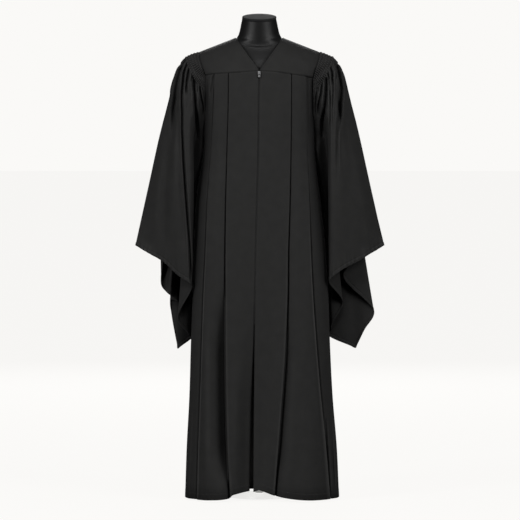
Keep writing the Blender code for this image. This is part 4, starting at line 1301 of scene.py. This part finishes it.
def shirring(u, t, full, seed):
    """Fine uneven gathers, held down along rows of stitching that follow the armhole."""
    in_band = ease((1.04 - t) / 0.12) * ease((t + 0.02) / 0.06)
    row = t * SHIRR_ROWS
    free = np.abs(np.sin(math.pi * row)) ** 0.7
    block = np.floor(row)
    drift = 0.9 * np.sin(1.7 * u + 2.1 * block + seed) + 0.5 * np.sin(4.3 * u - 1.3 * block)
    uneven = 0.75 + 0.35 * np.sin(2.9 * u + 1.9 * block)
    gather = np.cos(2 * math.pi * SHIRRS * u + drift)
    return SMOCK_RISE * in_band * full * ((0.45 + 0.55 * free) * uneven * gather - 0.55 * (1 - free))


FLARE = 0.0085
FLARE_PLACE = {1: (0.322, 0.012), -1: (0.345, 0.024)}
FLARE_BAND = (0.024, 0.022)
FLARE_BEFORE = (0.020, 0.010)
FLARE_ABOVE = (0.66, 0.02)
PUCKER = 0.0012
PUCKER_WAVES = (420.0, 1.5, 90.0)


def cuff_flare(side, grid):
    """The front hem of a cuff turns up a little near its outer end, in uneven puckers."""
    x = np.abs(grid[-1, :, 0])
    y, z = grid[-1, :, 1], grid[-1, :, 2]
    front = ease((FLARE_BEFORE[0] - y) / FLARE_BEFORE[1]) * ease((z - FLARE_ABOVE[0]) / FLARE_ABOVE[1])
    fine, sway, slow = PUCKER_WAVES
    pucker = PUCKER * np.sin(x * fine + sway * np.sin(x * slow))
    low = ease((FLARE_BAND[0] - edge_lengths(grid)[1]) / FLARE_BAND[1])
    return (FLARE * bell(x, *FLARE_PLACE[side]) + pucker) * front * low


WIDE_BAND = 0.015
FOLD_WAY = np.array((0.14, 1.0, 0.2))
FACE_SOFT = 0.15
CUFF_WIDTH = 0.0118
CUFF_FOLD = 0.0014
CUFF_DIP = 0.0010


def make_sleeve(side, word):
    bands = np.array([row[1] for row in RIBS[side]])
    next_bands = np.roll(bands, -1)
    knots = np.stack([spline(line, DENSE_T) for line in sleeve_lines(side)], axis=1)
    u = []
    for i, widest in enumerate(np.maximum(bands, next_bands)):
        count = BAND_COLUMNS if widest > WIDE_BAND else PLAIN_COLUMNS
        u.append(i + np.arange(count) / count)
    u = np.concatenate(u)
    grid = ring_points(knots, u)
    flip = side < 0
    if flip:
        grid[..., 0] *= -1
    i = np.floor(u).astype(int)
    full = np.minimum((bands[i] + (next_bands - bands)[i] * (u - i)) / FULL_BAND, 1.0)
    t = DENSE_T[:, None]
    normals = sheet_normals(grid, True, flip)
    fall = (1 - 0.85 * ease((t - 1.0) / 3.4)) * ease((t - 0.85) / 0.3)
    gathers = GATHER * fall * full * np.cos(2 * math.pi * u)
    x, z = np.abs(grid[..., 0]), grid[..., 2]
    forwards = ease((FACE_SOFT - normals[..., 1]) / (2 * FACE_SOFT))
    backwards = ease((FACE_SOFT + normals[..., 1]) / (2 * FACE_SOFT))
    relief = creases(SLEEVE_FRONT[side], x, z) * forwards + creases(SLEEVE_BACK[side], x, z) * backwards
    relief = relief * ease((t - 0.85) / 0.22)
    grid = grid + normals * gathers[..., None] + unit(normals * FOLD_WAY) * relief[..., None]
    normals = sheet_normals(grid, True, flip)
    grid = grid + normals * shirring(u, t, full, side)[..., None]
    grid = seam_roll(grid, normals, True, False, *SLEEVE_ROLL)
    grid = respaced(grid, DENSE_T, SLEEVE_T, CUFF_ROWS)
    grid[..., 1] -= cuff_flare(side, grid)
    thick = hem_thick(grid, CUFF_WIDTH, CUFF_FOLD, CUFF_DIP)
    make_piece("sleeve_" + word, "_cloth", grid, thick, robe_cloth, closed=True, flip=flip)
    for face, inside in (("out", False), ("in", True)):
        line, out = on_face(grid, thick, flip, True, CUFF_ROW, inside)
        stitched("cuff_stitches_" + word + "_" + face, line, out, closed=True)


# Zip.

TAPE_EDGE = 0.0017
TAPE_BACK = 0.0014
TOOTH_PITCH = 0.0022
TOOTH_SIZE = (0.0012, 0.0034, 0.0016)
TOOTH_TOP = 1.2800
TOOTH_OUT = 0.0006
TOOTH_BACK = 0.0018
TOOTH_CLEAR = 0.004


def zip_middle(heights):
    return (curve(SIDES[1], heights, SIDE_ZIP) - curve(SIDES[-1], heights, SIDE_ZIP)) / 2


def on_front(side, x, height, back):
    """Points of the front's outer line at x, moved back behind the cloth."""
    away = x * side
    p = on_body(side, away, height, hollow(away, height, True), True)
    p[:, 0] = x
    p[:, 1] += CLOTH / 2 + back
    return p


def make_zip():
    heights = np.linspace(ZIP_TOP, ZIP_END, 120)
    for side, word in WORDS:
        x = side * np.linspace(TAPE_EDGE, TAPE_WIDTH, 7)
        places = zip(heights, zip_middle(heights))
        grid = np.array([on_front(side, at + x, height, TAPE / 2 + TAPE_BACK) for height, at in places])
        grid[..., 1] -= front_relief(side, grid[..., 0], grid[..., 2])
        make_piece("zip_tape_" + word, "_weave", grid, TAPE, tape_cloth, flip=side > 0)


def make_teeth():
    """The closed chain: interlocked teeth, turn and turn about from the two tapes."""
    heights = np.arange(TOOTH_TOP, ZIP_END + TOOTH_CLEAR, -TOOTH_PITCH / 2)
    places = []
    for k, (height, at) in enumerate(zip(heights, zip_middle(heights))):
        x = np.array([at + (TOOTH_OUT if k % 2 else -TOOTH_OUT)])
        side = 1 if x[0] > 0 else -1
        p = on_body(1, np.abs(x), height, hollow(np.abs(x), height, True), True)
        p[0, 0] = x[0]
        p[0, 1] += CLOTH / 2 + TOOTH_BACK - front_relief(side, p[:, 0], p[:, 2])[0]
        places.append(p[0])
    places = np.array(places)
    along, across, out = (np.broadcast_to(np.array(v), places.shape)
                          for v in ((0.0, 0.0, -1.0), (1.0, 0.0, 0.0), (0.0, -1.0, 0.0)))
    sewing.append(("zip_teeth", *blocks(places, along, across, out, TOOTH_SIZE), zip_plastic))


# Dress form.

FORM_SIDES = 128
# Heights between which the form's rings are spaced evenly, with the count of each run.
FORM_RUNS = ((FORM[0][0], 24), (1.407, 42), (1.370, 22), (1.30, 40), (FORM[-1][0], 0))
LIP = (0.985, 0.0004)
BOTTOM_TUCK = (0.94, 0.007)
# The cap: how wide and how high each of its rings is over the neck's top.
CAP_RINGS = (
    (0.955, 0.0),
    (1.0, 0.0010),
    (1.0, CAP_HEIGHT - 0.0018),
    (0.994, CAP_HEIGHT - 0.0007),
    (0.975, CAP_HEIGHT),
    (0.90, CAP_HEIGHT + 0.0002),
)
CAP_GAP = 0.0008
NECK_SEAM = 1.3765
NECK_SEAM_RISE = (2.6, 0.12)
NECK_SEAM_BACK = 0.030
NECK_SEAM_HALF = 0.0012
NECK_RIDGE = 0.0006
NECK_VALLEY = 0.0007
CHEST_SEAM_TOP = 1.372
CHEST_SEAM_FADE = 0.010
CHEST_SEAM_WIDTH = 0.0022
CHEST_SEAM_DEPTH = 0.0008


def form_rings(heights, sides):
    wide, front, back, tilt, power = (curve(FORM, heights, k)[:, None] for k in range(1, 6))
    middle = (front + back) / 2
    deep = (back - front) / 2
    a = 2 * math.pi * (np.arange(sides) + 0.5)[None] / sides
    c, s = np.cos(a), np.sin(a)
    x = wide * np.sign(c) * np.abs(c) ** (2 / power)
    y = middle + deep * np.sign(s) * np.abs(s) ** (2 / power)
    z = heights[:, None] + tilt * (y - middle)
    return np.stack([x, y, z], axis=-1)


def loft(name, rings, material):
    """Closed solid through level rings, the last ring above or below the first."""
    rings = np.asarray(rings)
    index = np.arange(rings.shape[0] * rings.shape[1]).reshape(rings.shape[:2])
    faces = quads(np.concatenate([index, index[:, :1]], axis=1)).tolist()
    ends = [index[0, ::-1].tolist(), index[-1].tolist()]
    obj = mesh_object(name, rings.reshape(-1, 3), faces + ends, material)
    bm = bmesh.new()
    bm.from_mesh(obj.data)
    bmesh.ops.recalc_face_normals(bm, faces=bm.faces)
    bm.to_mesh(obj.data)
    bm.free()
    obj.data.set_sharp_from_angle(angle=math.radians(50))
    return obj


def neck_seam(rings):
    """The sewn line round the base of the neck, lower at the front, and the seam down the chest."""
    out = unit((rings - rings.mean(axis=1, keepdims=True)) * np.array((1.0, 1.0, 0.0)))
    x, y, z = rings[..., 0], rings[..., 1], rings[..., 2]
    seam = NECK_SEAM + NECK_SEAM_RISE[0] * x ** 2 + NECK_SEAM_RISE[1] * np.maximum(y + NECK_SEAM_BACK, 0.0)
    from_seam = (z - seam) / NECK_SEAM_HALF
    lift = NECK_RIDGE * np.exp(-(from_seam - 1.6) ** 2 / 1.6) - NECK_VALLEY * bell(from_seam, 0.0, 1.0)
    chest = ease((CHEST_SEAM_TOP - z) / CHEST_SEAM_FADE) * (y < 0) * bell(x, 0.0, CHEST_SEAM_WIDTH)
    return rings + out * (lift - CHEST_SEAM_DEPTH * chest)[..., None]


def make_form():
    heights = [np.linspace(top, low, count)[:-1] for (top, count), (low, _) in zip(FORM_RUNS, FORM_RUNS[1:])]
    rings = neck_seam(form_rings(np.concatenate(heights + [[FORM_RUNS[-1][0]]]), FORM_SIDES))
    middle = rings[0].mean(axis=0)
    lip = middle + (rings[0] - middle) * LIP[0] + np.array((0, 0, LIP[1]))
    centre = rings[-1].mean(axis=0)
    tuck = centre + (rings[-1] - centre) * BOTTOM_TUCK[0] - np.array((0, 0, BOTTOM_TUCK[1]))
    pieces["form_torso"] = loft("form_torso_cover", np.concatenate([lip[None], rings, tuck[None]]), satin)
    around = 2 * math.pi * np.arange(FORM_SIDES)[:, None] / FORM_SIDES
    lumps = 1 + 0.006 * np.sin(5 * around + 1.0) + 0.004 * np.sin(9 * around)
    cap = [middle + (rings[0] - middle) * wide * lumps + np.array((0, 0, CAP_GAP + up))
           for wide, up in CAP_RINGS]
    pieces["form_cap"] = loft("form_cap_cover", cap[::-1], cap_cloth)


make_body()
make_yokes()
for side, word in WORDS:
    make_sleeve(side, word)
make_zip()
make_teeth()
make_form()

for name, points, faces, material in sewing:
    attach(mesh_object(name, points, faces, material), BODY_NAME)

for node, piece in pieces.items():
    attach(piece, BODY_NAME)
    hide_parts(node)

for node, material in (("stand_pole", stand_metal), ("stand_foot", glowing_foot_paint), ("zip_slider", zip_metal),
                       ("zip_pull", zip_metal)):
    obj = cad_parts[node]
    obj.data.materials.clear()
    obj.data.materials.append(material)


# Camera, floor and light.

CAMERA_X = 0.0024
CAMERA_DISTANCE = 12.0
CAMERA_HEIGHT = 1.2
CAMERA_DOWN = math.radians(2.252)
SENSOR = 36.0
PICTURE = 520
PIXEL = 0.00305
FLOOR_REACH = 60.0


def make_camera():
    data = bpy.data.cameras.new("camera")
    data.sensor_width = SENSOR
    data.lens = SENSOR * CAMERA_DISTANCE / PIXEL / PICTURE
    data.clip_end = 200.0
    camera = bpy.data.objects.new("camera", data)
    camera.location = (CAMERA_X, -CAMERA_DISTANCE, CAMERA_HEIGHT)
    camera.rotation_euler = (math.pi / 2 - CAMERA_DOWN, 0.0, 0.0)
    bpy.context.scene.collection.objects.link(camera)
    bpy.context.scene.camera = camera


def area_light(name, place, aim, size, power):
    data = bpy.data.lights.new(name, "AREA")
    data.shape = "RECTANGLE"
    data.size, data.size_y = size
    data.energy = power
    light = bpy.data.objects.new(name, data)
    light.location = place
    light.rotation_euler = (Vector(aim) - Vector(place)).to_track_quat("-Z", "Y").to_euler()
    bpy.context.scene.collection.objects.link(light)


def make_floor():
    """Plain pale floor that fades into the backdrop and still takes the robe's soft shadow."""
    made = bpy.data.materials.new("floor")
    made.use_nodes = True
    tree = made.node_tree
    tree.nodes.clear()
    both = add(tree, "AddShader")
    link(tree, add(tree, "Emission", Color=BACKDROP, Strength=0.965), 0, both, 0)
    link(tree, add(tree, "BsdfDiffuse", Color=(0.05, 0.05, 0.05, 1.0)), 0, both, 1)
    link(tree, both, 0, add(tree, "OutputMaterial"), 0)
    corners = [(x * FLOOR_REACH, y * FLOOR_REACH, 0) for x, y in BLOCK_CORNERS]
    floor = mesh_object("floor", corners, [(0, 1, 2, 3)], made)
    floor.visible_diffuse = False
    floor.visible_glossy = False


def make_world():
    """The backdrop as the camera sees it, and a faint even fill for everything else."""
    world = bpy.data.worlds.new("studio")
    bpy.context.scene.world = world
    world.use_nodes = True
    tree = world.node_tree
    tree.nodes.clear()
    mix = add(tree, "MixShader")
    link(tree, add(tree, "LightPath"), "Is Camera Ray", mix, 0)
    link(tree, add(tree, "Background", Color=(1.0, 1.0, 1.0, 1.0), Strength=0.022), 0, mix, 1)
    link(tree, add(tree, "Background", Color=BACKDROP), 0, mix, 2)
    link(tree, mix, 0, add(tree, "OutputWorld"), 0)


make_camera()
make_floor()
make_world()
area_light("left", (-4.05, -4.0, 3.0), (0.0, 0.0, 0.9), (1.4, 2.2), 207.0)
area_light("right", (4.05, -4.0, 3.0), (0.0, 0.0, 0.9), (2.4, 2.4), 190.0)
area_light("front", (0.0, -4.6, 4.2), (0.0, 0.0, 1.0), (1.4, 1.0), 66.0)
area_light("rear", (0.0, 5.5, 2.8), (0.0, 0.0, 0.9), (2.4, 2.6), 170.0)
bpy.context.scene.view_settings.view_transform = "Standard"
